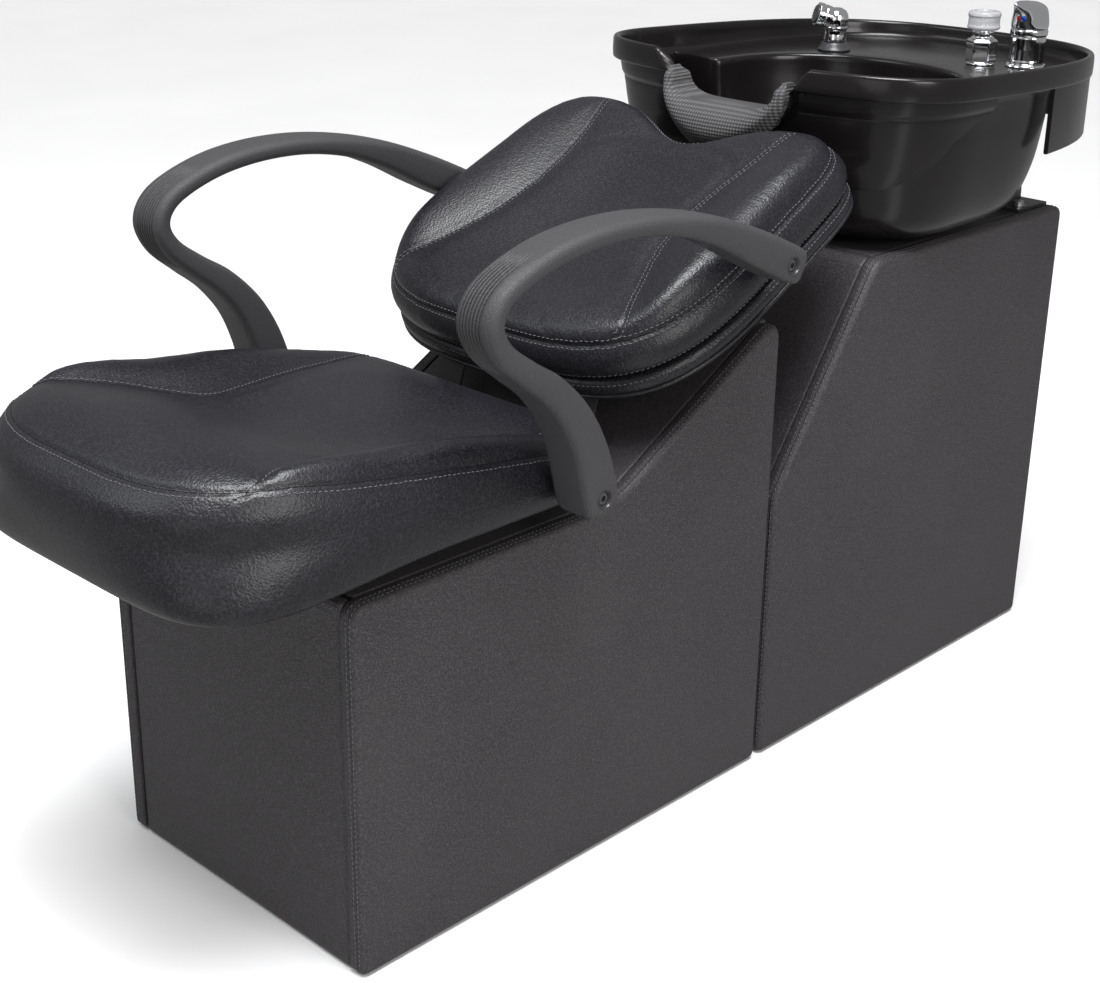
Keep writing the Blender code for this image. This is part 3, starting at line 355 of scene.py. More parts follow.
PAINT = plain("black_paint", (0.022, 0.022, 0.024), (0.032, 0.032, 0.034), 0.34, 0.46, 380.0, 0.0001)
RUBBER = plain("foot_rubber", (0.020, 0.020, 0.020), (0.034, 0.034, 0.034), 0.72, 0.86, 240.0, 0.0002)
DARKPL = plain("dark_plastic", (0.026, 0.026, 0.029), (0.040, 0.040, 0.044), 0.28, 0.42, 300.0, 0.0001)
BOLT = plain("blackened_steel", (0.030, 0.030, 0.032), (0.060, 0.060, 0.064), 0.25, 0.4, 200.0, 0.0001, 0.8)


def wood_mat():
    mt = M("plywood", (0.42, 0.31, 0.19), 0.7)
    v = mt.scaled((6, 90, 90))
    g = mt.noise(1.0, 6.0, 0.65, v)
    mt.out("Base Color", mt.mix(mt.remap(g, 0, 1, 0.3, 0.7), (0.30, 0.205, 0.115), (0.50, 0.38, 0.24)))
    mt.out("Roughness", mt.remap(g, 0.6, 0.8))
    mt.out("Normal", mt.bump(g, 0.5, 0.0006))
    return mt.m


WOOD = wood_mat()


def clear_mat():
    mt = M("cap_plastic", (0.62, 0.63, 0.65), 0.12, spec=0.6)
    mt.set("Transmission Weight", 0.55)
    mt.set("IOR", 1.49)
    f = mt.noise(80.0, 3.0, 0.6)
    mt.out("Roughness", mt.remap(f, 0.10, 0.22))
    mt.out("Base Color", mt.mix(f, (0.56, 0.57, 0.59), (0.74, 0.75, 0.77)))
    return mt.m


CLEAR = clear_mat()
RED = plain("dot_red", (0.50, 0.02, 0.015), (0.60, 0.035, 0.025), 0.2, 0.3, 300.0, 0.00003)
BLUE = plain("dot_blue", (0.01, 0.06, 0.45), (0.02, 0.09, 0.55), 0.2, 0.3, 300.0, 0.00003)


# ================================================================ mesh helpers (working frame: y = 0 at the front of the low base)
def link(name, verts, faces, mat=None, smooth=35):
    me = bpy.data.meshes.new(name)
    me.from_pydata([tuple(v) for v in verts], [], faces)
    me.update()
    o = bpy.data.objects.new(name, me)
    COL.objects.link(o)
    bm = bmesh.new()
    bm.from_mesh(me)
    bmesh.ops.remove_doubles(bm, verts=bm.verts, dist=1e-6)
    bmesh.ops.recalc_face_normals(bm, faces=bm.faces)
    bm.to_mesh(me)
    bm.free()
    me.update()
    if mat:
        me.materials.append(mat)
    if smooth is not None:
        soften(o, smooth)
    return o


def soften(o, deg):
    for p in o.data.polygons:
        p.use_smooth = True
    if deg < 179:
        o.data.set_sharp_from_angle(angle=math.radians(deg))


def bake(o):
    bpy.context.view_layer.update()
    dg = bpy.context.evaluated_depsgraph_get()
    me = bpy.data.meshes.new_from_object(o.evaluated_get(dg))
    old = o.data
    o.modifiers.clear()
    o.data = me
    bpy.data.meshes.remove(old)
    return o


def mod(o, kind, **kw):
    m = o.modifiers.new(kind, kind)
    for k, v in kw.items():
        setattr(m, k, v)
    return bake(o)


def boolean(o, cutter, op="DIFFERENCE"):
    m = o.modifiers.new("b", "BOOLEAN")
    m.operation, m.solver, m.object = op, "EXACT", cutter
    bake(o)
    bpy.data.objects.remove(cutter, do_unlink=True)
    return o


def join(name, objs, mat=None):
    verts, faces = [], []
    for o in objs:
        k = len(verts)
        verts += [tuple(v.co) for v in o.data.vertices]
        faces += [[k + i for i in p.vertices] for p in o.data.polygons]
        bpy.data.objects.remove(o, do_unlink=True)
    me = bpy.data.meshes.new(name)
    me.from_pydata(verts, [], faces)
    me.update()
    j = bpy.data.objects.new(name, me)
    COL.objects.link(j)
    if mat:
        me.materials.append(mat)
    return j


def finish(o, body, mat=None, nodes=()):
    """Move a piece from the working frame to the row frame and attach it."""
    o.data.transform(Matrix.Translation((0, -YM, 0)))
    o.data.update()
    if mat:
        o.data.materials.clear()
        o.data.materials.append(mat)
    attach(o, body)
    if nodes:
        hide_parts(*nodes)
    return o


def smooth01(t):
    t = min(max(t, 0.0), 1.0)
    return t * t * (3 - 2 * t)


def lerp(a, b, t):
    return a + (b - a) * t


def table(xs, ys):
    """Smooth curve through points, as a function."""
    xs, ys = np.array(xs, float), np.array(ys, float)
    d = np.gradient(ys, xs)

    def f(x):
        x = min(max(x, xs[0]), xs[-1])
        i = min(int(np.searchsorted(xs, x, side="right")) - 1, len(xs) - 2)
        h = xs[i + 1] - xs[i]
        t = (x - xs[i]) / h
        return float((2 * t ** 3 - 3 * t * t + 1) * ys[i] + (t ** 3 - 2 * t * t + t) * h * d[i]
                     + (-2 * t ** 3 + 3 * t * t) * ys[i + 1] + (t ** 3 - t * t) * h * d[i + 1])
    return f


def super_ring(a, b0, b1, yc, n0, n1, count, inset=0.0):
    out = []
    for i in range(count):
        t = 2 * math.pi * i / count
        c, s = math.cos(t), math.sin(t)
        n = n1 if s >= 0 else n0
        b = (b1 if s >= 0 else b0) - inset
        e = 2.0 / n
        out.append(((a - inset) * math.copysign(abs(c) ** e, c), yc + b * math.copysign(abs(s) ** e, s)))
    return out


def even(pts, count, closed=True):
    """Re-space an outline evenly along its length."""
    P = [Vector(p) for p in pts]
    if closed:
        P.append(P[0].copy())
    L = [0.0]
    for a, b in zip(P[:-1], P[1:]):
        L.append(L[-1] + (b - a).length)
    out, k = [], 0
    for i in range(count):
        d = L[-1] * i / (count if closed else count - 1)
        while k < len(L) - 2 and L[k + 1] < d:
            k += 1
        u = (d - L[k]) / max(L[k + 1] - L[k], 1e-12)
        out.append(P[k].lerp(P[k + 1], min(u, 1.0)))
    return out


def round_poly(pts, radii, seg=8):
    n = len(pts)
    out = []
    for i in range(n):
        p0, p1, p2 = Vector(pts[i - 1]), Vector(pts[i]), Vector(pts[(i + 1) % n])
        r = radii[i] if isinstance(radii, (list, tuple)) else radii
        if r <= 0:
            out.append(tuple(p1))
            continue
        a, b = (p0 - p1), (p2 - p1)
        la, lb = a.length, b.length
        a.normalize(); b.normalize()
        d = min(r / math.tan(a.angle(b) / 2), la * 0.45, lb * 0.45)
        q0, q2 = p1 + a * d, p1 + b * d
        for k in range(seg + 1):
            t = k / seg
            out.append(tuple((1 - t) ** 2 * q0 + 2 * t * (1 - t) * p1 + t * t * q2))
    return out


def loft(name, rings, mat=None, smooth=35, cap=True, closed=False):
    n = len(rings[0])
    v = [tuple(p) for r in rings for p in r]
    f = []
    m = len(rings)
    for k in range(m if closed else m - 1):
        q = (k + 1) % m
        for i in range(n):
            j = (i + 1) % n
            f.append([k * n + i, k * n + j, q * n + j, q * n + i])
    if cap and not closed:
        f.append(list(range(n)))
        f.append(list(range((m - 1) * n, m * n)))
    return link(name, v, f, mat, smooth)


def lathe(name, prof, centre, mat=None, axis=(0, 0, 1), seg=64, smooth=35, ring=False):
    """Solid (or, with ring, a closed profile loop) turned about an axis."""
    q = Vector((0, 0, 1)).rotation_difference(Vector(axis).normalized())
    c = Vector(centre)
    rows = []
    for r, h in prof:
        r = max(r, 1e-5)
        rows.append([c + q @ Vector((r * math.cos(2 * math.pi * i / seg), r * math.sin(2 * math.pi * i / seg), h)) for i in range(seg)])
    return loft(name, rows, mat, smooth, cap=not ring, closed=ring)


def fillet(prof, r, seg=3, closed=False):
    """Round every corner of a (radius, height) profile."""
    out = []
    n = len(prof)
    for i, p in enumerate(prof):
        if not closed and i in (0, n - 1):
            out.append(p)
            continue
        a, b, c = Vector(prof[i - 1]), Vector(p), Vector(prof[(i + 1) % n])
        u, v = a - b, c - b
        if u.length < 1e-6 or v.length < 1e-6:
            continue
        d = min(r, u.length * 0.45, v.length * 0.45)
        q0, q2 = b + u.normalized() * d, b + v.normalized() * d
        for k in range(seg + 1):
            t = k / seg
            out.append(tuple((1 - t) ** 2 * q0 + 2 * t * (1 - t) * b + t * t * q2))
    return out


def coords(o):
    a = np.empty(len(o.data.vertices) * 3)
    o.data.vertices.foreach_get("co", a)
    return a.reshape(-1, 3)


def put(o, a):
    o.data.vertices.foreach_set("co", np.ascontiguousarray(a, dtype=np.float32).ravel())
    o.data.update()


def normals(o):
    a = np.empty(len(o.data.vertices) * 3, dtype=np.float32)
    o.data.vertex_normals.foreach_get("vector", a)
    return a.reshape(-1, 3).astype(float)


def tree(o):
    return BVHTree.FromPolygons([v.co.copy() for v in o.data.vertices], [tuple(p.vertices) for p in o.data.polygons])


def seam_distance(P, lines, step=0.0015):
    pts = []
    for ln in lines:
        for a, b in zip(ln[:-1], ln[1:]):
            n = max(1, int((b - a).length / step))
            pts += [a.lerp(b, i / n) for i in range(n)]
        pts.append(ln[-1])
    kd = KDTree(len(pts))
    for i, p in enumerate(pts):
        kd.insert(p, i)
    kd.balance()
    return np.array([kd.find(p)[2] for p in P])


def on_surface(bt, line, off=0.0, flip=1):
    """The polyline laid on the surface, moved sideways by off. Returns points and normals."""
    out = []
    n = len(line)
    for i in range(n):
        p, nn, _, _ = bt.find_nearest(line[i])
        t = (line[min(i + 1, n - 1)] - line[max(i - 1, 0)]).normalized()
        if off:
            side = nn.cross(t).normalized() * flip
            p, nn, _, _ = bt.find_nearest(p + side * off)
        out.append((p, nn))
    return out


def stitches(name, rows, length=0.0044, gap=0.0020, r=0.00052, lift=0.00030):
    """Short raised threads along rows of (point, normal)."""
    verts, faces = [], []
    for row in rows:
        pts = [p for p, n in row]
        L = [0.0]
        for a, b in zip(pts[:-1], pts[1:]):
            L.append(L[-1] + (b - a).length)
        d = 0.4 * gap
        k = 0

        def at(x):
            j = 0
            lo, hi = 0, len(L) - 2
            while lo < hi:
                mid = (lo + hi + 1) // 2
                if L[mid] <= x:
                    lo = mid
                else:
                    hi = mid - 1
            u = (x - L[lo]) / max(L[lo + 1] - L[lo], 1e-9)
            return pts[lo].lerp(pts[lo + 1], u), row[lo][1]
        while d + length < L[-1]:
            a, na = at(d)
            b, nb = at(d + length)
            m, nm = at(d + length / 2)
            t = (b - a).normalized()
            s = nm.cross(t).normalized()
            base = len(verts)
            prof = ((a, -0.9, 0.45), (a.lerp(m, 0.35), 0.2, 1.0), (m, 0.5, 1.0), (m.lerp(b, 0.65), 0.2, 1.0), (b, -0.9, 0.45))
            for c, h, w_ in prof:
                for q in range(5):
                    ang = 2 * math.pi * q / 5
                    verts.append(c + nm * (lift + r * h + r * w_ * math.sin(ang)) + s * (r * w_ * math.cos(ang)))
            for q in range(4):
                for i in range(5):
                    j = (i + 1) % 5
                    faces.append([base + q * 5 + i, base + q * 5 + j, base + (q + 1) * 5 + j, base + (q + 1) * 5 + i])
            faces.append([base + i for i in range(5)])
            faces.append([base + 20 + i for i in range(5)])
            d += length + gap
    return link(name, verts, faces, THREAD, 180)


def seam_lines(name, rows, w=0.00055, lift=0.00012):
    """A fine continuous line along rows of (point, normal), where two panels meet; given the near-black seam colour, it
    is painted shade along the seam crease.
    """
    verts, faces = [], []
    for row in rows:
        n = len(row)
        base = len(verts)
        for i, (p, nn) in enumerate(row):
            t = (row[min(i + 1, n - 1)][0] - row[max(i - 1, 0)][0]).normalized()
            s_ = nn.cross(t).normalized()
            for a, h in ((-w, -0.0006), (-0.7 * w, lift), (0.0, lift * 1.5), (0.7 * w, lift), (w, -0.0006)):
                verts.append(p + s_ * a + nn * h)
        for i in range(n - 1):
            for k in range(5):
                q = (k + 1) % 5
                faces.append([base + i * 5 + k, base + i * 5 + q, base + (i + 1) * 5 + q, base + (i + 1) * 5 + k])
        faces.append([base + k for k in range(5)])
        faces.append([base + (n - 1) * 5 + k for k in range(5)])
    return link(name, verts, faces, None, 180)


def groove(o, lines, depth, width, swell=0.0):
    P = coords(o)
    N = normals(o)
    d = seam_distance([Vector(p) for p in P], lines)
    disp = -depth * np.exp(-(d / width) ** 2) + swell * np.exp(-((d - 2.4 * width) / (1.3 * width)) ** 2)
    put(o, P + N * disp[:, None])


def puff(o, pins, voxel=0.006, pressure=4.0, cap=0.008, frames=20, pin_w=0.010, hold=None):
    """Inflate a closed cushion with cloth, held along its seams."""
    o.modifiers.new("r", "REMESH").mode = "VOXEL"
    o.modifiers["r"].voxel_size = voxel
    bake(o)
    mod(o, "SMOOTH", factor=0.5, iterations=3)
    P0 = coords(o)
    d = seam_distance([Vector(p) for p in P0], pins)
    wgt = np.exp(-(d / pin_w) ** 2)
    if hold is not None:
        wgt = np.maximum(wgt, np.array([hold(p) for p in P0]))
    vg = o.vertex_groups.new(name="pin")
    for i, x in enumerate(wgt):
        if x > 0.02:
            vg.add([i], float(min(x, 1.0)), "REPLACE")
    m = o.modifiers.new("c", "CLOTH")
    s = m.settings
    s.quality = 4
    s.mass = 0.25
    s.tension_stiffness = s.compression_stiffness = 12
    s.shear_stiffness = 4
    s.bending_stiffness = 0.8
    s.use_pressure = True
    s.uniform_pressure_force = pressure
    s.effector_weights.gravity = 0
    s.vertex_group_mass = "pin"
    m.collision_settings.use_collision = False
    m.point_cache.frame_start, m.point_cache.frame_end = 1, frames
    for f in range(1, frames + 1):
        SCN.frame_set(f)
    dg = bpy.context.evaluated_depsgraph_get()
    me = o.evaluated_get(dg).to_mesh()
    P1 = np.empty(len(me.vertices) * 3)
    me.vertices.foreach_get("co", P1)
    P1 = P1.reshape(-1, 3)
    D = P1 - P0
    L = np.linalg.norm(D, axis=1)
    print("puff", o.name, len(P0), "mean %.4f max %.4f" % (L.mean(), L.max()))
    D *= np.minimum(1.0, cap / np.maximum(L, 1e-9))[:, None]
    o.modifiers.clear()
    o.vertex_groups.clear()
    SCN.frame_set(1)
    put(o, P0 + D)
    mod(o, "SMOOTH", factor=0.5, iterations=2)
    mod(o, "SUBSURF", levels=1)
    return o


def catmull(P, per, closed=False):
    P = [np.array(p, float) for p in P]
    n = len(P)
    out = []
    for i in range(n if closed else n - 1):
        g = (lambda j: P[j % n]) if closed else (lambda j: P[min(max(j, 0), n - 1)])
        a, b, c, d = g(i - 1), g(i), g(i + 1), g(i + 2)
        for k in range(per):
            t = k / per
            out.append(0.5 * (2 * b + (c - a) * t + (2 * a - 5 * b + 4 * c - d) * t * t + (3 * b - a - 3 * c + d) * t ** 3))
    if not closed:
        out.append(P[-1])
    return out


def columns(rings, per):
    """More rings between the given ones, on smooth curves through matching points."""
    A = [np.array([tuple(p) for p in r], float) for r in rings]
    return [[tuple(p) for p in r] for r in catmull(A, per)]


# ================================================================ seat cushion
S_BOT, S_A, S_Y0, S_Y1, S_YC = 0.4790, 0.2375, -0.1970, 0.384, 0.0855
in_x = table([-0.125, -0.09, -0.045, 0.0, 0.045, 0.09, 0.14, 0.215, 0.30, 0.384], [0.203, 0.192, 0.175, 0.161, 0.144, 0.132, 0.141, 0.160, 0.174, 0.182])
in_z = table([-0.125, -0.09, -0.045, 0.0, 0.045, 0.09, 0.14, 0.215, 0.30, 0.384], [0.590, 0.595, 0.588, 0.577, 0.563, 0.551, 0.547, 0.541, 0.535, 0.531])
mid_z = table([-0.18, -0.14, -0.10, -0.06, 0.0, 0.05, 0.10, 0.20, 0.30, 0.384], [0.590, 0.602, 0.606, 0.600, 0.576, 0.553, 0.540, 0.535, 0.533, 0.530])
crest = table([-0.18, -0.12, -0.08, -0.043, 0.006, 0.058, 0.11, 0.15, 0.207, 0.266, 0.312, 0.384], [0.612, 0.617, 0.614, 0.608, 0.599, 0.588, 0.582, 0.578, 0.568, 0.554, 0.543, 0.534])


def seam_z(y):
    return 0.585 - 0.155 * min(max(0.0, y + 0.060), 0.42)


def seat_base(n0, N):
    return even(super_ring(1, 1, 1, 0, n0, 9, 1200), N)


def seat_ring(a, y0, y1, zf, n0, N=176):
    out = []
    for p in seat_base(n0, N):
        x = a * p[0]
        y = S_YC + (p[1] * (S_YC - y0) if p[1] < 0 else p[1] * (y1 - S_YC))
        out.append((x, y, zf(x, y)))
    return out


def seat_top(x, y, k):
    zp = seam_z(y)
    ax = abs(x)
    xs, zs = in_x(y), in_z(y)
    if ax < xs:
        u = ax / xs
        z = lerp(mid_z(y), zs, u ** 3)
    else:
        u = min((ax - xs) / max(S_A - 0.014 - xs, 0.01), 1.0)
        z = lerp(zs, crest(y), math.sin(min(u / 0.85, 1.0) * math.pi / 2))
    k0 = 0.87
    e = math.sqrt(max(0.0, 1 - ((k - k0) / (1 - k0)) ** 2.4)) if k > k0 else 1.0
    return lerp(zp, z, e)


def make_seat():
    B = S_BOT

    def hem_z(y):
        return 0.0130 * smooth01((0.12 - y) / 0.24)
    side = [seat_ring(S_A - 0.030, S_Y0 + 0.0460, S_Y1 - 0.030, lambda x, y: B - 0.8 * hem_z(y), 5.5),
            seat_ring(S_A - 0.014, S_Y0 + 0.0300, S_Y1 - 0.014, lambda x, y: B - 0.0045 - hem_z(y), 5.5),
            seat_ring(S_A - 0.004, S_Y0 + 0.0160, S_Y1 - 0.006, lambda x, y: B - 0.001 - 0.8 * hem_z(y), 5.2),
            seat_ring(S_A + 0.000, S_Y0 + 0.0075, S_Y1 - 0.002, lambda x, y: B + 0.10 * (seam_z(y) - B) - 0.5 * hem_z(y), 4.6),
            seat_ring(S_A + 0.002, S_Y0 + 0.0035, S_Y1, lambda x, y: B + 0.28 * (seam_z(y) - B), 3.6),
            seat_ring(S_A + 0.001, S_Y0 + 0.001, S_Y1, lambda x, y: B + 0.50 * (seam_z(y) - B), 2.95),
            seat_ring(S_A - 0.004, S_Y0 + 0.0055, S_Y1 - 0.003, lambda x, y: B + 0.76 * (seam_z(y) - B), 3.3),
            seat_ring(S_A - 0.009, S_Y0 + 0.0170, S_Y1 - 0.005, lambda x, y: B + 0.90 * (seam_z(y) - B), 3.4),
            seat_ring(S_A - 0.014, S_Y0 + 0.0295, S_Y1 - 0.008, lambda x, y: seam_z(y), 3.5)]
    rings = columns(side, 4)
    ks = [0.992, 0.98, 0.965, 0.945, 0.92, 0.89, 0.86, 0.83, 0.80, 0.765, 0.73, 0.69, 0.65, 0.61, 0.57, 0.53, 0.48, 0.43, 0.37, 0.31, 0.25, 0.18, 0.11, 0.05]
    for k in ks:
        rings.append(seat_ring((S_A - 0.014) * k, S_YC - (S_YC - S_Y0 - 0.0295) * k, S_YC + (S_Y1 - 0.008 - S_YC) * k, lambda x, y, k=k: seat_top(x, y, k), 3.2))
    o = loft("seat_pad", rings, None, 180)
    rim = [Vector(p) for p in seat_ring(S_A - 0.014, S_Y0 + 0.0295, S_Y1 - 0.008, lambda x, y: seam_z(y), 3.2, 260)]
    rim.append(rim[0].copy())
    inner = []
    for s in (1, -1):
        ys = np.linspace(-0.122, 0.372, 110)
        inner.append([Vector((s * in_x(y), y, in_z(y))) for y in ys])
    bt = tree(o)
    inner = [[bt.find_nearest(p)[0] for p in ln] for ln in inner]
    puff(o, [rim] + inner, 0.0056, 2.0, 0.0040, 20, 0.009, hold=lambda p: 1.0 if p[2] < S_BOT + 0.004 else (0.85 if p[1] > S_Y1 - 0.02 else 0.0))
    bt = tree(o)
    rim = [bt.find_nearest(p)[0] for p in rim]
    inner = [[bt.find_nearest(p)[0] for p in ln] for ln in inner]
    groove(o, [rim], 0.0013, 0.0030, 0.0003)
    groove(o, inner, 0.0008, 0.0030, 0.0002)
    bt = tree(o)
    # near-black strips along the seams: painted shade of the seam creases
    ln_obj = seam_lines("seat_seams", [on_surface(bt, rim)] + [on_surface(bt, ln) for ln in inner])
    finish(ln_obj, "seat", SEAM_SHADE)
    rows = []
    up = 1 if on_surface(bt, rim, 0.006, 1)[40][0].z < on_surface(bt, rim, 0.0, 1)[40][0].z else -1
    rows.append(on_surface(bt, rim, 0.0062, up))
    for ln, s in zip(inner, (1, -1)):
        for f in (1, -1):
            c = on_surface(bt, ln, 0.0036, f)
            if (c[60][0].x - ln[60].x) * s > 0:
                rows.append(c)
    st = stitches("seat_stitching", rows)
    soften(o, 180)
    finish(o, "seat", VINYL, ["seat_cushion"])
    finish(st, "seat", THREAD)


make_seat()

# ================================================================ backrest
ANG = math.radians(25)
CA, SA = math.cos(ANG), math.sin(ANG)
B_A, B_S0, B_S1, B_X = 0.2500, -0.030, 0.438, -0.005
B_SC = 0.5 * (B_S0 + B_S1)


def bp(x, s, t):
    return (x + B_X, 0.400 + s * CA - t * SA, 0.610 + s * SA + t * CA)


def back_outline(k, inset, N=190):
    pts = even(super_ring(B_A - inset, B_SC - B_S0 - inset, B_S1 - inset - B_SC, B_SC, 3.4, 6.8, 1200), N)
    out = []
    for p in pts:
        x, s = p[0] * k, B_SC + (p[1] - B_SC) * k
        top = smooth01((s - (B_SC + 0.02)) / (B_S1 - inset - B_SC - 0.02))
        x *= 1 - 0.055 * smooth01((s - 0.12) / 0.32)
        out.append((x, s - 0.060 * math.exp(-(x / 0.090) ** 2) * top))
    return out


fs_x = table([-0.005, 0.034, 0.08, 0.14, 0.20, 0.25, 0.30, 0.36, 0.41, 0.44], [0.202, 0.187, 0.164, 0.140, 0.127, 0.125, 0.130, 0.142, 0.153, 0.158])


def face_t(x, s, k):
    ax = abs(x)
    xs = fs_x(s)
    hollow = smooth01((s + 0.005) / 0.11) * (1 - smooth01((s - 0.30) / 0.12))
    t_mid = lerp(0.020, 0.004, hollow)
    t_seam = lerp(0.022, 0.013, hollow)
    t_side = lerp(0.029, 0.036, hollow)
    if ax < xs:
        t = lerp(t_mid, t_seam, smooth01(ax / xs) ** 1.3)
    else:
        t = lerp(t_seam, t_side, math.sin(min((ax - xs) / 0.080, 1.0) * math.pi / 2))
    k0 = 0.88
    e = math.sqrt(max(0.0, 1 - ((k - k0) / (1 - k0)) ** 2.3)) if k > k0 else 1.0
    return t * e


def make_back():
    side = [[bp(x, s, t) for x, s in back_outline(1, i)] for i, t in
            ((0.060, -0.0446), (0.014, -0.0446), (0.0065, -0.0425), (0.002, -0.034), (0.0005, -0.024), (0.003, -0.012), (0.0075, -0.005), (0.012, 0.0))]
    rings = side[:1] + columns(side[1:], 3)
    for k in (0.993, 0.982, 0.968, 0.95, 0.93, 0.91, 0.885, 0.86, 0.83, 0.80, 0.76, 0.72, 0.68, 0.64, 0.59, 0.54, 0.48, 0.42, 0.35, 0.28, 0.20, 0.12, 0.05):
        rings.append([bp(x, s, face_t(x, s, k)) for x, s in back_outline(k, 0.012)])
    o = loft("backrest_pad", rings, None, 180)
    rim = [Vector(bp(x, s, 0.0)) for x, s in back_outline(1, 0.012, 260)]
    rim.append(rim[0].copy())
    bt = tree(o)
    seams = []
    for sg in (1, -1):
        ln = [Vector(bp(sg * fs_x(s), s, 0.02)) for s in np.linspace(-0.012, 0.408, 90)]
        seams.append([bt.find_nearest(p)[0] for p in ln])
    nrm = Vector((0, -SA, CA))
    org = Vector((0, 0.400, 0.610))
    puff(o, [rim] + seams, 0.0055, 2.0, 0.0035, 20, 0.009, hold=lambda p: 1.0 if (Vector(p) - org).dot(nrm) < -0.036 else 0.0)
    bt = tree(o)
    rim = [bt.find_nearest(p)[0] for p in rim]
    seams = [[bt.find_nearest(p)[0] for p in ln] for ln in seams]
    groove(o, [rim], 0.0013, 0.0030, 0.0003)
    groove(o, seams, 0.0006, 0.0030, 0.0001)
    bt = tree(o)
    # near-black strips along the seams: painted shade of the seam creases
    ln_obj = seam_lines("backrest_seams", [on_surface(bt, rim)] + [on_surface(bt, ln) for ln in seams])
    finish(ln_obj, "seat", SEAM_SHADE)
    rows = [on_surface(bt, rim, 0.0050, 1), on_surface(bt, rim, 0.0050, -1)]
    for ln in seams:
        rows += [on_surface(bt, ln, 0.0034, 1), on_surface(bt, ln, 0.0034, -1)]
    low = [Vector(bp(x, s, -0.0385)) for x, s in back_outline(1, 0.004, 260)]
    low.append(low[0].copy())
    rows.append(on_surface(bt, low, 0.0))
    st = stitches("backrest_stitching", rows)
    finish(o, "seat", VINYL, ["backrest_cushion"])
    finish(st, "seat", THREAD)

    # padded back cover, with piping round its edge
    sh = [[bp(x, s, t) for x, s in back_outline(1, i)] for i, t in
          ((0.060, -0.0452), (0.013, -0.0452), (0.0055, -0.0475), (0.002, -0.053), (0.0015, -0.060), (0.0055, -0.069), (0.014, -0.0755), (0.030, -0.0785))]
    rings = sh[:1] + columns(sh[1:], 3)
    for k in (0.93, 0.85, 0.75, 0.6, 0.45, 0.3, 0.15, 0.05):
        rings.append([bp(x, s, -0.0785 - 0.0015 * smooth01((0.95 - k) / 0.3)) for x, s in back_outline(k, 0.022)])
    o = loft("backrest_cover", rings, None, 180)
    bt = tree(o)
    low = [Vector(bp(x, s, -0.0510)) for x, s in back_outline(1, 0.002, 260)]
    low.append(low[0].copy())
    st = stitches("cover_stitching", [on_surface(bt, low, 0.0)])
    finish(o, "seat", VINYL, ["backrest_shell"])
    finish(st, "seat", THREAD)
    # piping
    path = [Vector(bp(x, s, -0.0668)) for x, s in back_outline(1, 0.0030, 240)]
    rings = []
    n = len(path)
    for i, p in enumerate(path):
        t = (path[(i + 1) % n] - path[i - 1]).normalized()
        side_ = t.cross(nrm).normalized()
        rings.append([p + 0.0026 * (math.cos(a) * nrm + math.sin(a) * side_) for a in [2 * math.pi * q / 10 for q in range(10)]])
    pp = loft("backrest_piping", rings, None, 180, cap=False, closed=True)
    finish(pp, "seat", VINYL)


make_back()

# ================================================================ upholstered side panels
HALF_W, PANEL_T, FLOOR = 0.215, 0.022, 0.0012


def inset_outline(P, d):
    n = len(P)
    out = []
    for i in range(n):
        t = (P[(i + 1) % n] - P[i - 1]).normalized()
        out.append(P[i] + Vector((-t.y, t.x)) * d)
    return out


def side_panel(name, poly, radii, s, node, body, stitch_range):
    P = [Vector(p) for p in even(round_poly(poly, radii, 10), 380)]
    area2 = sum(a.x * b.y - b.x * a.y for a, b in zip(P, P[1:] + P[:1]))
    if area2 < 0:
        P.reverse()
    xi, xo = HALF_W - PANEL_T, HALF_W
    prof = [(0.0030, xi), (0.0008, xi + 0.0010), (0.0, xi + 0.0032), (0.0, xo - 0.0100)]
    # a shallow seam groove in the edge strip, then the rounded outer edge
    prof += [(0.0003, xo - 0.0092), (0.0012, xo - 0.0086), (0.0003, xo - 0.0080)]
    prof += [(0.0080 * (1 - math.cos(a)), xo - 0.0080 + 0.0080 * math.sin(a)) for a in [math.radians(q) for q in (8, 20, 35, 50, 65, 80, 90)]]
    rings = []
    for d, x in prof:
        rings.append([(s * x, q.x, q.y) for q in inset_outline(P, d)])
    o = loft(name, rings, None, 40)
    rows = []
    lo, hi = stitch_range
    for off in (0.0118, 0.0060):
        row = []
        d = 0.0 if off > 0.008 else 0.0006
        for q, qn in zip(inset_outline(P, d), range(len(P))):
            t = (P[(qn + 1) % len(P)] - P[qn - 1]).normalized()
            nn = Vector((0, t.y, -t.x))
            if q.y > lo:
                row.append((Vector((s * (xo - off), q.x, q.y)), nn if nn.dot(Vector((0, q.x - hi[0], q.y - hi[1]))) > 0 else -nn))
            else:
                row.append(None)
        k = row.index(None) if None in row else 0
        row = row[k:] + row[:k]
        rows.append([r for r in row if r is not None])
    st = stitches(name + "_stitching", rows, 0.0042, 0.0020, 0.00046, 0.00022)
    finish(o, body, PANELV, [node])
    finish(st, body, THREAD)


for s, sd in ((1, "L"), (-1, "R")):
    side_panel("low_base_side_" + sd, [(0.0, FLOOR), (0.0, 0.440), (0.382, 0.440), (0.669, 0.604), (0.669, FLOOR)],
               [0.010, 0.022, 0.16, 0.020, 0.010], s, "front_side_panel_" + sd, "base", (0.012, (0.33, 0.22)))
    side_panel("pedestal_side_" + sd, [(0.678, FLOOR), (0.678, 0.366), (0.864, 0.635), (1.312, 0.635), (1.312, FLOOR)],
               [0.010, 0.05, 0.03, 0.016, 0.010], s, "rear_side_panel_" + sd, "base", (0.012, (1.02, 0.25)))


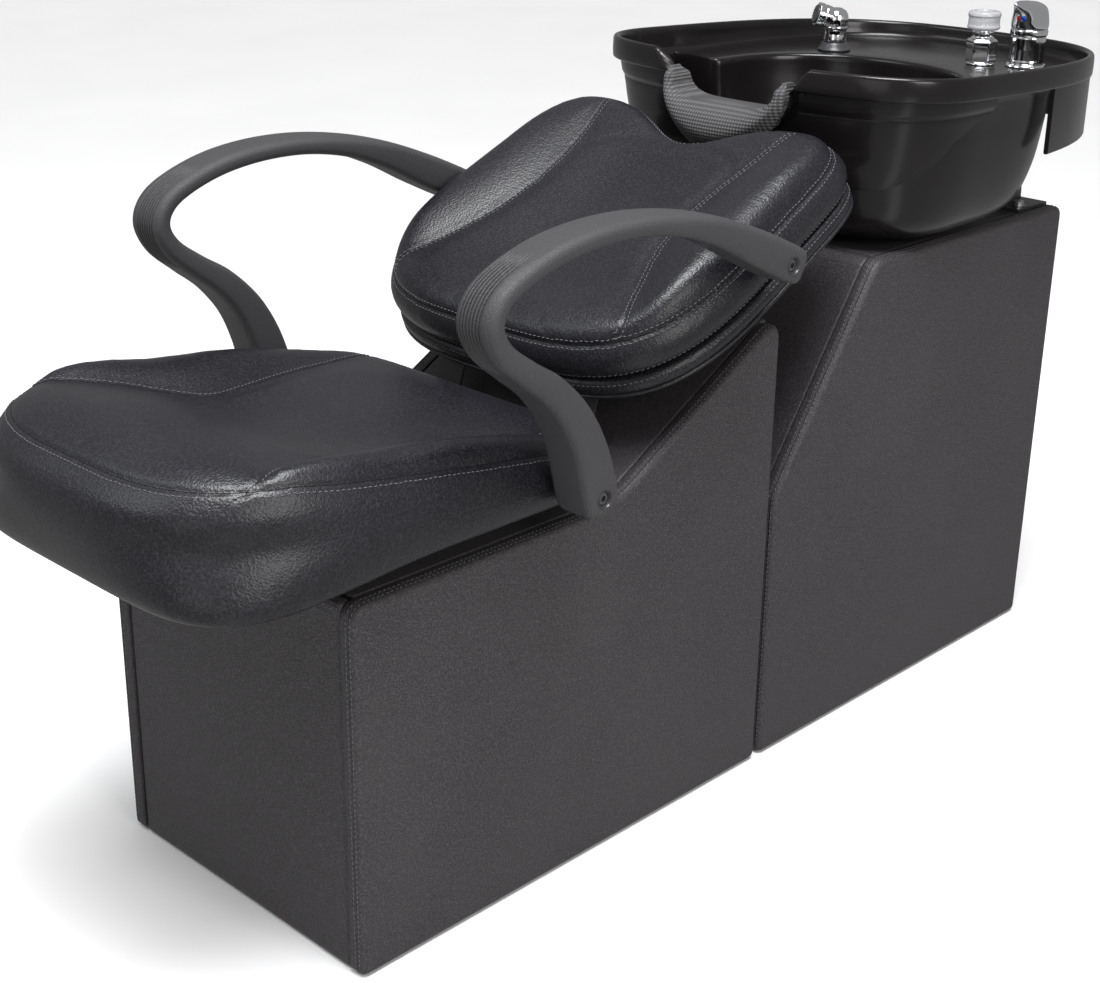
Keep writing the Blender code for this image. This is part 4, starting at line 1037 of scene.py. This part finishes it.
def hem(name, pts, nrm, rows=(0.0,), shift=(0, 0, 1)):
    """Rows of stitches along a straight line."""
    rr = []
    for d in rows:
        a = [Vector(p) + Vector(shift) * d for p in pts]
        line = even(a, max(2, int((a[-1] - a[0]).length / 0.004)), closed=False)
        rr.append([(p, Vector(nrm)) for p in line])
    st = stitches(name, rr, 0.0042, 0.0020, 0.00046, 0.00022)
    finish(st, "base", THREAD)


hem("front_hem_stitching", [(-0.185, 0.002, 0.428), (0.185, 0.002, 0.428)], (0, -1, 0), (0.0, -0.007))

# ================================================================ armrests
ARM_XI, ARM_XO = 0.2434, 0.2984
ARM = [(0.276, 0.4850, 0.043), (0.270, 0.5140, 0.048), (0.256, 0.5590, 0.044), (0.234, 0.6005, 0.038), (0.201, 0.6370, 0.032),
       (0.165, 0.6630, 0.027), (0.133, 0.6890, 0.024), (0.1195, 0.7160, 0.022), (0.130, 0.7405, 0.020), (0.160, 0.7585, 0.019),
       (0.210, 0.7740, 0.019), (0.270, 0.7812, 0.019), (0.335, 0.7797, 0.020), (0.400, 0.7690, 0.024), (0.460, 0.7505, 0.032),
       (0.520, 0.7240, 0.040), (0.572, 0.7000, 0.042), (0.594, 0.6900, 0.040)]
FOOT_BOLT, REAR_BOLT = (0.272, 0.504), (0.572, 0.698)


def make_arm(s, sd):
    P = catmull(ARM, 13)
    n = len(P)
    xm, hw = 0.5 * (ARM_XI + ARM_XO), 0.5 * (ARM_XO - ARM_XI)
    nt, nb, nc = 110, 14, 7
    rings = []
    for i, (y, z, t) in enumerate(P):
        a, b = P[max(i - 1, 0)][:2], P[min(i + 1, n - 1)][:2]
        d = Vector(b - a).normalized()
        nrm = Vector((-d.y, d.x))
        h, w_ = t / 2, hw
        e = min(i, n - 1 - i)
        ends = [0.60, 0.74, 0.84, 0.91, 0.955, 0.985]
        if e < len(ends):
            h *= ends[e]
            w_ = hw - 0.010 * (1 - ends[e])
        r = min(0.0088, h * 0.86)
        sec = []
        # outer face (with grip grooves), then round the strap
        g = smooth01((i - 13 * 5.3) / 10) * (1 - smooth01((i - 13 * 8.7) / 12))
        for k in range(nt + 1):
            u = lerp(w_ - r, -(w_ - r), k / nt)
            v = h + 0.0012 * (1 - (u / w_) ** 2)
            m = smooth01((u + 0.0195) / 0.003) * (1 - smooth01((u - 0.0095) / 0.003))
            gr = 0.5 - 0.5 * math.cos(2 * math.pi * (u + 0.0195) / 0.0045)
            v -= 0.0030 * g * m * gr ** 2.2
            v += 0.0008 * g * math.exp(-((u - 0.0150) / 0.0035) ** 2)
            sec.append((u, v))
        for cx, ch, a0 in ((-1, 1, 90), (-1, -1, 180)):
            for k in range(1, nc + 1):
                ang = math.radians(a0 + 90 * k / (nc + 0.5))
                sec.append((cx * (w_ - r) + r * math.cos(ang), ch * (h - r) + r * math.sin(ang)))
        for k in range(1, nb):
            u = lerp(-(w_ - r), w_ - r, k / nb)
            sec.append((u, -h))
        for cx, ch, a0 in ((1, -1, 270), (1, 1, 0)):
            for k in range(0, nc):
                ang = math.radians(a0 + 90 * k / nc)
                sec.append((cx * (w_ - r) + r * math.cos(ang), ch * (h - r) + r * math.sin(ang)))
        rings.append([(s * (xm + u), y + nrm.x * v, z + nrm.y * v) for u, v in sec])
    o = loft("arm_" + sd, rings, PU, 180)
    for y, z in (FOOT_BOLT, REAR_BOLT):
        boolean(o, lathe("c", [(0.0078, 0.0), (0.0078, 0.0065), (0.0095, 0.0078), (0.0112, 0.02)], (s * (ARM_XO - 0.009), y, z), None, axis=(s, 0, 0), seg=48, smooth=None))
    soften(o, 50)
    finish(o, "seat", PU, ["armrest_" + sd])
    for (y, z), which in ((FOOT_BOLT, "foot"), (REAR_BOLT, "rear")):
        c = (s * (ARM_XO - 0.009), y, z)
        b = lathe("bolt_%s_%s" % (which, sd), fillet([(0.0, 0.0004), (0.0070, 0.0004), (0.0070, 0.0062), (0.0, 0.0062)], 0.0008), c, None, axis=(s, 0, 0), seg=40)
        boolean(b, lathe("c", [(0.0036, 0.0026), (0.0036, 0.01)], c, None, axis=(s, 0, 0), seg=6, smooth=None))
        soften(b, 35)
        finish(b, "seat", BOLT, ["arm_bolt_%s_%s" % (which, sd)])
        g = lathe("bolt_cup_%s_%s" % (which, sd), fillet([(0.0079, 0.0002), (0.0086, 0.0002), (0.0098, 0.0080), (0.0106, 0.0098), (0.0098, 0.0100), (0.0088, 0.0080), (0.0079, 0.0040)], 0.0003, 2, True),
                  c, None, axis=(s, 0, 0), seg=48, ring=True)
        finish(g, "seat", DARKPL)


for s, sd in ((1, "L"), (-1, "R")):
    make_arm(s, sd)

# ================================================================ basin
RIM_Y0, RIM_YC, RIM_Y1, RIM_A, RIM_N0, RIM_N1 = 0.8065, 0.9914, 1.43, 0.279, 3.1, 2.94
RIM_Z, RIM_SLOPE, DECK, DECK_T, LIP_H, APRON_Z, BODY_Z, FLOOR_Z, DRAIN_Y = 0.8662, -0.0363, 0.822, 0.0065, 0.030, 0.738, 0.6385, 0.660, 1.030
MIXER, BREAKER, SPRAY = (0.142, 1.293), (0.088, 1.262), (-0.126, 1.210)
C0 = 0.985


def polar(pts, th):
    """Distance of an outline from (0, C0) at each angle."""
    a = np.array([math.atan2(p[1] - C0, p[0]) for p in pts]) % (2 * math.pi)
    r = np.array([math.hypot(p[0], p[1] - C0) for p in pts])
    k = np.argsort(a)
    return np.interp(th, a[k], r[k], period=2 * math.pi)


def make_bowl():
    th = set(round(math.radians(q), 6) for q in np.arange(0, 360, 1.5))
    for a, b, st in ((4, 15, 0.3), (165, 176, 0.3), (228, 312, 0.75), (15, 60, 1.0), (120, 165, 1.0)):
        th |= set(round(math.radians(q), 6) for q in np.arange(a, b, st))
    th = np.array(sorted(th))
    th = th[np.concatenate(([True], np.diff(th) > 0.0026))]
    cx, sy = np.cos(th), np.sin(th)

    def rim_r(inset):
        return polar(super_ring(RIM_A, RIM_YC - RIM_Y0, RIM_Y1 - RIM_YC, RIM_YC, RIM_N0, RIM_N1, 3000, inset), th)

    def body_r(a, y0, y1, n0, n1):
        return polar(super_ring(a, 1.02 - y0, y1 - 1.02, 1.02, n0, n1, 3000), th)

    def ring(r, z, cy=C0):
        x, y = r * cx, cy + r * sy
        zz = z(x, y) if callable(z) else np.full(len(th), z) if np.isscalar(z) else z
        return np.stack([x, y, zz], 1)

    def rimz(dz):
        return lambda x, y: RIM_Z + RIM_SLOPE * (y - RIM_Y0) + dz
    outer = [(0.150, 0.930, 1.140, 2.4, 2.4, BODY_Z), (0.190, 0.900, 1.172, 2.7, 2.7, BODY_Z + 0.0025), (0.216, 0.877, 1.198, 2.9, 3.0, BODY_Z + 0.010),
             (0.234, 0.860, 1.222, 3.0, 3.3, BODY_Z + 0.023), (0.246, 0.848, 1.237, 3.1, 3.5, BODY_Z + 0.044),
             (0.255, 0.836, 1.253, 3.1, 3.6, BODY_Z + 0.085), (0.262, 0.826, 1.261, 3.1, 3.6, BODY_Z + 0.140)]
    body = [ring(body_r(*q[:5]), q[5]) for q in outer]
    # last body ring meets the lip's underside all round
    rows = [ring(np.full(len(th), 0.0236), BODY_Z, DRAIN_Y), ring(np.full(len(th), 0.040), BODY_Z - 0.0002, DRAIN_Y), ring(np.full(len(th), 0.085), BODY_Z - 0.0004, DRAIN_Y)]
    rows += [np.array(r) for r in catmull(body, 4)]
    yb = body_r(0.2640, 0.8215, 1.2640, 3.1, 3.6)
    under = rimz(-LIP_H - 0.0100)
    top_body = ring(yb, 0)
    # behind the basin's body the underside of the deck runs out to the lip
    rear = smooth_np((top_body[:, 1] - 1.15) / 0.04)
    top_body[:, 2] = under(top_body[:, 0], top_body[:, 1]) * (1 - rear) + (DECK - DECK_T - 0.004) * rear
    rows.append(top_body)
    y2 = np.minimum(rim_r(0.0128), np.maximum(yb, rim_r(0.0128)))
    r2 = ring(y2, 0)
    r2[:, 2] = rimz(-LIP_H - 0.0030)(r2[:, 0], r2[:, 1]) * (1 - rear) + (DECK - DECK_T) * rear
    rows.append(r2)
    lip = [(0.0100, -LIP_H + 0.0006), (0.0050, -LIP_H + 0.0002), (0.0022, -LIP_H), (0.0006, -LIP_H + 0.0010), (0.0, -LIP_H + 0.0030), (-0.0003, -0.020), (-0.0003, -0.012),
           (0.0, -0.0050), (0.0005, -0.0026), (0.0018, -0.0009), (0.0042, 0.0), (0.0066, -0.0006), (0.0084, -0.0024), (0.0091, -0.0055), (0.0096, -0.0110)]
    lip_at = len(rows)
    rows += [ring(rim_r(i), rimz(dz)) for i, dz in lip]
    # tap deck edge
    fil = [(0.197, 1.012), (0.1895, 1.0125), (0.1850, 1.0150), (0.1822, 1.0195), (0.1810, 1.028)]
    arch = [(0.1815 * math.cos(a) ** 0.92, 1.022 + 0.176 * math.sin(a) ** 0.92) for a in np.linspace(0.10, math.pi / 2, 60)]
    half = [(0.45, 1.012)] + fil + arch
    edge = half + [(-x, y) for x, y in reversed(half)]
    re = polar(edge, th)
    ang0 = math.atan2(1.012 - C0, 0.45)
    re[(th < ang0) | (th > math.pi - ang0)] = 9
    r_in = rim_r(0.0205)
    r0 = np.minimum(re, rim_r(0.0150))
    q = smooth_np((r_in - r0 - 0.002) / 0.012)
    deck_rows = [((0.0104, 0.0062), (0.0102, 0.0040)), ((0.0114, 0.0032), (0.0106, 0.0015)), ((0.0132, 0.0011), (0.0110, -0.0010)), ((0.0160, 0.0002), (0.0114, -0.0032)), ((0.0205, 0.0), (0.0118, -0.0054))]
    for (i1, h1), (i2, h2) in deck_rows:
        r = rim_r(i1) * q + rim_r(i2) * (1 - q)
        rows.append(ring(r, DECK + h1 * q + h2 * (1 - q)))
    ra = r_in * q + rim_r(0.0118) * (1 - q)
    for w_ in (0.3, 0.6, 0.85):
        rr = ra * (1 - w_) + (r0 + 0.0050 * q) * w_
        rows.append(ring(rr, DECK + 0 * q - (1 - q) * (0.0054 + 0.006 * w_)))
    for dr, h1, h2 in ((0.0050, 0.0, -0.0118), (0.0024, -0.0006, -0.0122), (0.0008, -0.0022, -0.0128), (0.0, -0.0050, -0.0136), (-0.0003, -0.0100, -0.0150)):
        rows.append(ring(r0 + dr * q, DECK + h1 * q + h2 * (1 - q)))
    rb = body_r(0.238, 0.848, 1.187, 2.9, 2.4)
    for z, f in ((0.800, 0.994), (0.785, 0.985), (0.765, 0.970), (0.742, 0.948), (0.722, 0.920), (0.705, 0.885), (0.692, 0.840), (0.681, 0.780), (0.673, 0.70), (0.6675, 0.60), (0.6638, 0.48), (0.6618, 0.36), (0.6606, 0.22)):
        m = smooth01((0.715 - z) / 0.045)
        m2 = smooth01((0.69 - z) / 0.029)
        r = (r0 * f) * (1 - m) + np.minimum(r0, rb) * f * m
        if m2 > 0:
            circ = 0.0236 + (f * 0.16 - 0.0236) * 1.0
            r = r * (1 - m2 * m2 * 0.5) + np.maximum(circ, 0.03) * m2 * m2 * 0.5
        rows.append(ring(r, z, lerp(C0, DRAIN_Y, m2)))
    rows.append(ring(np.full(len(th), 0.0250), 0.6602, DRAIN_Y))
    rows.append(ring(np.full(len(th), 0.0236), 0.6592, DRAIN_Y))
    # neck notch
    base_r = rim_r(0.0130)
    for k, R in enumerate(rows):
        x, y, z = R[:, 0], R[:, 1], R[:, 2]
        ax = np.abs(x)
        arc = 0.832 - 0.068 * np.sqrt(np.clip(1 - (ax / 0.0955) ** 2, 0, 1))
        zn = np.where(ax < 0.0955, arc, 0.832 + 0.0365 * smooth_np((ax - 0.0955) / 0.036) ** 0.8)
        hit = (y < 0.90) & (z > zn) & (ax < 0.1312)
        over = np.where(hit, z - zn, 0)
        z2 = zn + np.minimum(over * 0.03, 0.0008)
        if lip_at <= k < lip_at + 11:
            w_ = smooth_np(over / 0.016)
            rr = np.hypot(x, y - C0)
            f = (rr * (1 - w_) + np.minimum(base_r, rr) * w_) / rr
            R[:, 0], R[:, 1] = np.where(hit, x * f, x), np.where(hit, C0 + (y - C0) * f, y)
        R[:, 2] = np.where(hit, z2, z)
    o = loft("basin", rows, None, 60, closed=True)
    # hanging apron behind
    pts = [(p[0], p[1]) for p in super_ring(RIM_A, RIM_YC - RIM_Y0, RIM_Y1 - RIM_YC, RIM_YC, RIM_N0, RIM_N1, 1600, 0.0022)]
    band = [p for p in pts if p[1] > 1.148]
    band = even(band, 160, closed=False)
    rings = []
    nb = len(band)
    for i, p in enumerate(band):
        t = (band[min(i + 1, nb - 1)] - band[max(i - 1, 0)]).normalized()
        nn = Vector((-t.y, t.x))
        if nn.dot(Vector((-p.x, RIM_YC - p.y))) < 0:
            nn = -nn
        zt = RIM_Z + RIM_SLOPE * (p.y - RIM_Y0) - LIP_H + 0.006
        sec = [(0.0, zt), (0.0, APRON_Z + 0.0022), (0.0006, APRON_Z + 0.0007), (0.0020, APRON_Z), (0.0044, APRON_Z), (0.0058, APRON_Z + 0.0007), (0.0064, APRON_Z + 0.0022), (0.0064, zt)]
        rings.append([(p.x + nn.x * d, p.y + nn.y * d, z) for d, z in sec])
    ap = loft("apron", rings, None, None)
    o = join("basin", [o, ap], ABS)
    soften(o, 48)
    finish(o, "bowl", ABS, ["bowl_shell"])


def smooth_np(t):
    t = np.clip(t, 0, 1)
    return t * t * (3 - 2 * t)


make_bowl()


def make_neck():
    zc, a, bb = 0.832, 0.0955, 0.068
    f0 = RIM_Y0 - 0.0025
    rings = []
    segs = 96
    for k in range(segs + 1):
        ang = math.pi - 0.20 + (math.pi + 0.40) * k / segs
        u = math.sin(math.pi * k / segs)
        end = smooth01(min(k, segs - k) / 5.0)
        ca, sa = math.cos(ang), math.sin(ang)
        if sa > 0:
            ca = math.copysign(1 + 0.06 * sa, ca)
        ox, oz = (a - 0.0004) * ca, zc + (bb - 0.0004) * sa
        ix, iz = (a - 0.012 - 0.003 * u) * ca, zc + (bb - 0.012 - 0.030 * u) * sa + 0.002
        ex, ez = (a + 0.002 + 0.004 * u) * ca, zc + (bb + 0.001 + 0.020 * u ** 2) * sa
        d = 0.006 + 0.024 * u ** 1.5
        mx_, mz_ = 0.5 * (ex + ix), 0.5 * (ez + iz)
        db = 0.006 + 0.012 * u
        sec = [(ex, f0 - 0.35 * d, ez), (lerp(ex, ix, 0.25), f0 - 0.95 * d, lerp(ez, iz, 0.25)), (mx_, f0 - 0.002 - 1.18 * d, mz_), (lerp(ex, ix, 0.8), f0 - 0.002 - 0.95 * d, lerp(ez, iz, 0.8)),
               (ix, f0 - 0.35 * d, iz), (ix, 0.812, iz), (ix, 0.826 + 0.9 * db, iz), (lerp(ox, ix, 0.6), 0.828 + 1.45 * db, lerp(oz, iz, 0.6)),
               (ox, 0.832 + 1.2 * db, oz), (ox, 0.825, oz), (ox, f0, oz), (lerp(ex, ox, 0.4), f0 - 0.0006, lerp(ez, oz, 0.4))]
        c = np.mean(np.array(sec), 0)
        sec = [tuple(c + (np.array(p) - c) * (0.45 + 0.55 * end)) for p in sec]
        rings.append([tuple(p) for p in catmull(sec, 5, closed=True)])
    o = loft("neck_cushion", rings, GEL, 180)
    finish(o, "bowl", GEL, ["neck_rest"])


make_neck()

# ================================================================ fittings
mx, my = MIXER
z0 = DECK


def turned(name, node, body, mat, prof, c, r=0.0006, axis=(0, 0, 1), ring=False, seg=72):
    o = lathe(name, fillet(prof, r, 3, ring), c, None, axis, seg, 35, ring)
    return finish(o, body, mat, [node] if node else [])


turned("tap_flange", "tap_base_flange", "bowl", CHROME, [(0.0172, 0.0004), (0.0278, 0.0004), (0.0282, 0.0018), (0.0268, 0.0044), (0.0252, 0.0050), (0.0172, 0.0050)], (mx, my, z0), 0.0005, ring=True)
turned("tap_barrel", "tap_body", "bowl", CHROME,
       [(0.0, -0.052), (0.0140, -0.052), (0.0140, -0.0062), (0.0162, -0.0062), (0.0162, 0.0054), (0.0240, 0.0054), (0.0246, 0.0080), (0.0240, 0.0104), (0.0236, 0.0250), (0.0240, 0.0400), (0.0236, 0.0425), (0.0, 0.0425)], (mx, my, z0))
turned("tap_ring", "tap_collar", "tap_collar_body", CHROME, [(0.0, 0.0430), (0.0244, 0.0430), (0.0256, 0.0446), (0.0256, 0.0505), (0.0246, 0.0525), (0.0, 0.0525)], (mx, my, z0))


def make_lever():
    N = 72
    prof = [(0.0535, 0.985, 0.0), (0.0545, 1.000, 0.0), (0.0600, 1.010, 0.02), (0.0680, 0.985, 0.12), (0.0750, 0.940, 0.36), (0.0810, 0.880, 0.70), (0.0855, 0.780, 0.95),
            (0.0885, 0.640, 1.02), (0.0908, 0.460, 0.98), (0.0924, 0.270, 0.80), (0.0931, 0.100, 0.45)]
    prof = catmull(prof, 5)
    rings = []
    for z, k, b in prof:
        r = []
        z = 0.0535 + (z - 0.0535) * 0.90
        for i in range(N):
            t = 2 * math.pi * i / N
            c, s = math.cos(t), math.sin(t)
            rr = 0.0252 * k
            x, y = rr * c, rr * s
            if s < 0:
                w_ = abs(s) ** 3
                y -= b * 0.0315 * w_ * (1.0 - 0.15 * k)
                x *= 1 - 0.35 * b * w_
            r.append((mx + x, my + y, z0 + z + 0.0045 * b * max(0.0, -s) ** 2))
        rings.append(r)
    o = loft("tap_handle", rings, None, 180)
    finish(o, "tap_lever_body", CHROME, ["tap_lever"])
    bt = tree(o)
    p, nn, _, _ = bt.find_nearest(Vector((mx, my - YM - 0.030, z0 + 0.0665)))
    q = Vector((p.x, p.y + YM, p.z))
    d = lathe("tap_mark_red", fillet([(0.0, -0.0006), (0.0034, -0.0006), (0.0034, 0.0006), (0.0, 0.0010)], 0.0003), q + Vector((-0.0016, 0, 0)), None, axis=nn, seg=40)
    d2 = lathe("tap_mark_blue", fillet([(0.0, -0.0006), (0.0034, -0.0006), (0.0034, 0.0006), (0.0, 0.0010)], 0.0003), q + Vector((0.0060, 0, 0)), None, axis=nn, seg=40)
    finish(d, "tap_lever_body", RED, ["tap_dot"])
    finish(d2, "tap_lever_body", BLUE)


make_lever()

bx, by = BREAKER


def hex_body():
    r, z1, z2 = 0.0215, z0 + 0.0034, z0 + 0.0350
    pts = [Vector((bx + r * math.cos(math.pi / 6 + i * math.pi / 3), by + r * math.sin(math.pi / 6 + i * math.pi / 3))) for i in range(6)]
    P = even(round_poly([tuple(p) for p in pts], 0.0016, 4), 96)
    rings = []
    for k, z in ((0.90, z1), (0.985, z1 + 0.0022), (1.0, z1 + 0.0040), (1.0, z2 - 0.0040), (0.985, z2 - 0.0020), (0.90, z2)):
        rings.append([(bx + (p.x - bx) * k, by + (p.y - by) * k, z) for p in P])
    o = loft("breaker_hexagon", rings, None, 28)
    finish(o, "bowl", CHROME, ["breaker_hex_body"])


hex_body()
turned("breaker_shank", "breaker_stem", "bowl", CHROME, [(0.0, -0.045), (0.0098, -0.045), (0.0098, 0.0004), (0.0192, 0.0004), (0.0198, 0.0016), (0.0188, 0.0031), (0.0, 0.0031)], (bx, by, z0))
turned("breaker_waist", "breaker_neck", "bowl", CHROME, [(0.0, 0.0354), (0.0168, 0.0354), (0.0152, 0.0372), (0.0142, 0.0385), (0.0142, 0.0425), (0.0150, 0.0435), (0.0150, 0.0450), (0.0142, 0.0460), (0.0142, 0.0476), (0.0, 0.0476)], (bx, by, z0))


def cap():
    prof = fillet([(0.0, 0.0480), (0.0200, 0.0480), (0.0224, 0.0500), (0.0228, 0.0520), (0.0218, 0.0545), (0.0218, 0.0655), (0.0228, 0.0675), (0.0222, 0.0708), (0.0200, 0.0728), (0.0130, 0.0733), (0.0120, 0.0716), (0.0, 0.0712)], 0.0006)
    o = lathe("breaker_top", prof, (bx, by, z0), None, seg=144)
    P = coords(o)
    a = np.arctan2(P[:, 1] - by, P[:, 0] - bx)
    r = np.hypot(P[:, 0] - bx, P[:, 1] - by)
    band = smooth_np((P[:, 2] - z0 - 0.054) / 0.002) * (1 - smooth_np((P[:, 2] - z0 - 0.065) / 0.002)) * (r > 0.02)
    f = 1 - 0.022 * band * (0.5 + 0.5 * np.cos(24 * a))
    P[:, 0], P[:, 1] = bx + (P[:, 0] - bx) * f, by + (P[:, 1] - by) * f
    put(o, P)
    finish(o, "bowl", CLEAR, ["breaker_cap"])


cap()

sx, sy_ = SPRAY
turned("spray_socket", "spray_holder", "bowl", DARKPL, [(0.0140, -0.0300), (0.0147, -0.0300), (0.0147, 0.0004), (0.0236, 0.0004), (0.0240, 0.0024), (0.0216, 0.0050), (0.0190, 0.0100), (0.0176, 0.0120), (0.0140, 0.0120)],
       (sx, sy_, z0), 0.0008, ring=True)
SD = Vector((-0.62, -0.74, 0.25)).normalized()


def sprayer():
    h = lathe("spray_handle", fillet([(0.0, -0.0600), (0.0112, -0.0600), (0.0128, -0.0560), (0.0132, 0.0124), (0.0162, 0.0130), (0.0170, 0.0160), (0.0160, 0.0240), (0.0162, 0.0290), (0.0176, 0.0310), (0.0176, 0.0335), (0.0170, 0.0350), (0.0180, 0.0390), (0.0182, 0.0450), (0.0172, 0.0510), (0.0140, 0.0566), (0.0080, 0.0600), (0.0, 0.0610)], 0.0006),
              (sx, sy_, z0), None, seg=72)
    c = Vector((sx, sy_, z0 + 0.0440)) - 0.002 * SD
    nz = lathe("n", fillet([(0.0, 0.0), (0.0130, 0.0), (0.0154, 0.0110), (0.0168, 0.0200), (0.0160, 0.0212), (0.0160, 0.0232), (0.0172, 0.0244), (0.0172, 0.0316), (0.0154, 0.0322), (0.0, 0.0322)], 0.0005), c, None, axis=SD, seg=72)
    boolean(h, nz, "UNION")
    soften(h, 38)
    finish(h, "sprayer", CHROME, ["spray_head"])
    c2 = Vector((sx, sy_, z0 + 0.0440)) + 0.0305 * SD
    f = lathe("spray_rose", fillet([(0.0, 0.0), (0.0140, 0.0), (0.0140, 0.0010), (0.0124, 0.0018), (0.0, 0.0022)], 0.0004), c2, None, axis=SD, seg=64)
    q = Vector((0, 0, 1)).rotation_difference(SD)
    bits = [f]
    for ringr, cnt in ((0.0, 1), (0.0038, 6), (0.0075, 12), (0.0110, 18)):
        for i in range(cnt):
            a = 2 * math.pi * i / cnt
            p = c2 + q @ Vector((ringr * math.cos(a), ringr * math.sin(a), 0.0016))
            bits.append(lathe("j", [(0.0, 0.0), (0.00085, 0.0), (0.0007, 0.0012), (0.0003, 0.0014), (0.0, 0.0014)], p, None, axis=SD, seg=10))
    f = join("spray_rose", bits)
    soften(f, 40)
    finish(f, "sprayer", DARKPL, ["spray_face"])


sprayer()

# waste: flange and perforated strainer
turned("waste_flange", "drain_flange", "bowl", CHROME, [(0.0175, -0.016), (0.0228, -0.016), (0.0228, 0.0004), (0.0330, 0.0004), (0.0332, 0.0014), (0.0300, 0.0028), (0.0200, 0.0012), (0.0175, -0.002)], (0, DRAIN_Y, FLOOR_Z + 0.0004), 0.0005, ring=True)


def strainer():
    c = (0, DRAIN_Y, FLOOR_Z + 0.0006)
    o = lathe("hair_strainer", fillet([(0.0, -0.0100), (0.0150, -0.0100), (0.0168, -0.0060), (0.0170, 0.0016), (0.0190, 0.0016), (0.0190, 0.0030), (0.0150, 0.0032), (0.0140, -0.0075), (0.0040, -0.0078),
                                (0.0034, 0.0040), (0.0055, 0.0062), (0.0, 0.0072)], 0.0004), c, None, seg=60)
    for ringr, cnt, r in ((0.0072, 8, 0.0013), (0.0112, 12, 0.0013)):
        for i in range(cnt):
            a = 2 * math.pi * (i + 0.5) / cnt
            boolean(o, lathe("c", [(r, -0.02), (r, -0.002)], (c[0] + ringr * math.cos(a), c[1] + ringr * math.sin(a), c[2]), None, seg=10, smooth=None))
    soften(o, 38)
    finish(o, "strainer", CHROME, ["strainer_basket"])


strainer()

# ================================================================ materials of the pieces kept from the CAD
KEEP = {
    PANELV: ["front_top_board", "front_face_panel", "front_rear_panel", "front_slope_panel", "rear_front_panel", "rear_slant_panel", "rear_top_panel", "rear_access_panel"],
    WOOD: ["front_carcass", "rear_carcass"],
    RUBBER: ["front_glide_L", "front_glide_R", "rear_glide_L", "rear_glide_R"],
    STEEL: ["slide_rails", "seat_runners", "mount_bolt_L", "mount_bolt_R", "tilt_pin"],
    PAINT: ["back_bracket", "base_tie_bar", "bowl_mount_base", "tilt_bracket", "seat_board"],
    DARKPL: ["drain_locknut", "drain_tailpiece", "spray_locknut"],
    BRASS: ["tap_locknut", "breaker_locknut"],
}
for mat, names in KEEP.items():
    for nm in names:
        o = NODE[nm]
        if not o.material_slots:
            o.data.materials.append(mat)
        for sl in o.material_slots:
            sl.material = mat

# ================================================================ floor
fl = bpy.data.meshes.new("floor")
R = 30.0
fl.from_pydata([(-R, -R, 0), (R, -R, 0), (R, R, 0), (-R, R, 0)], [], [(0, 1, 2, 3)])
floor = bpy.data.objects.new("floor", fl)
COL.objects.link(floor)
fm = plain("pale_floor", (0.86, 0.86, 0.865), (0.90, 0.90, 0.90), 0.6, 0.7, 2.0, 0.0)
fl.materials.append(fm)
floor.location.z = -0.0002
floor.visible_glossy = False
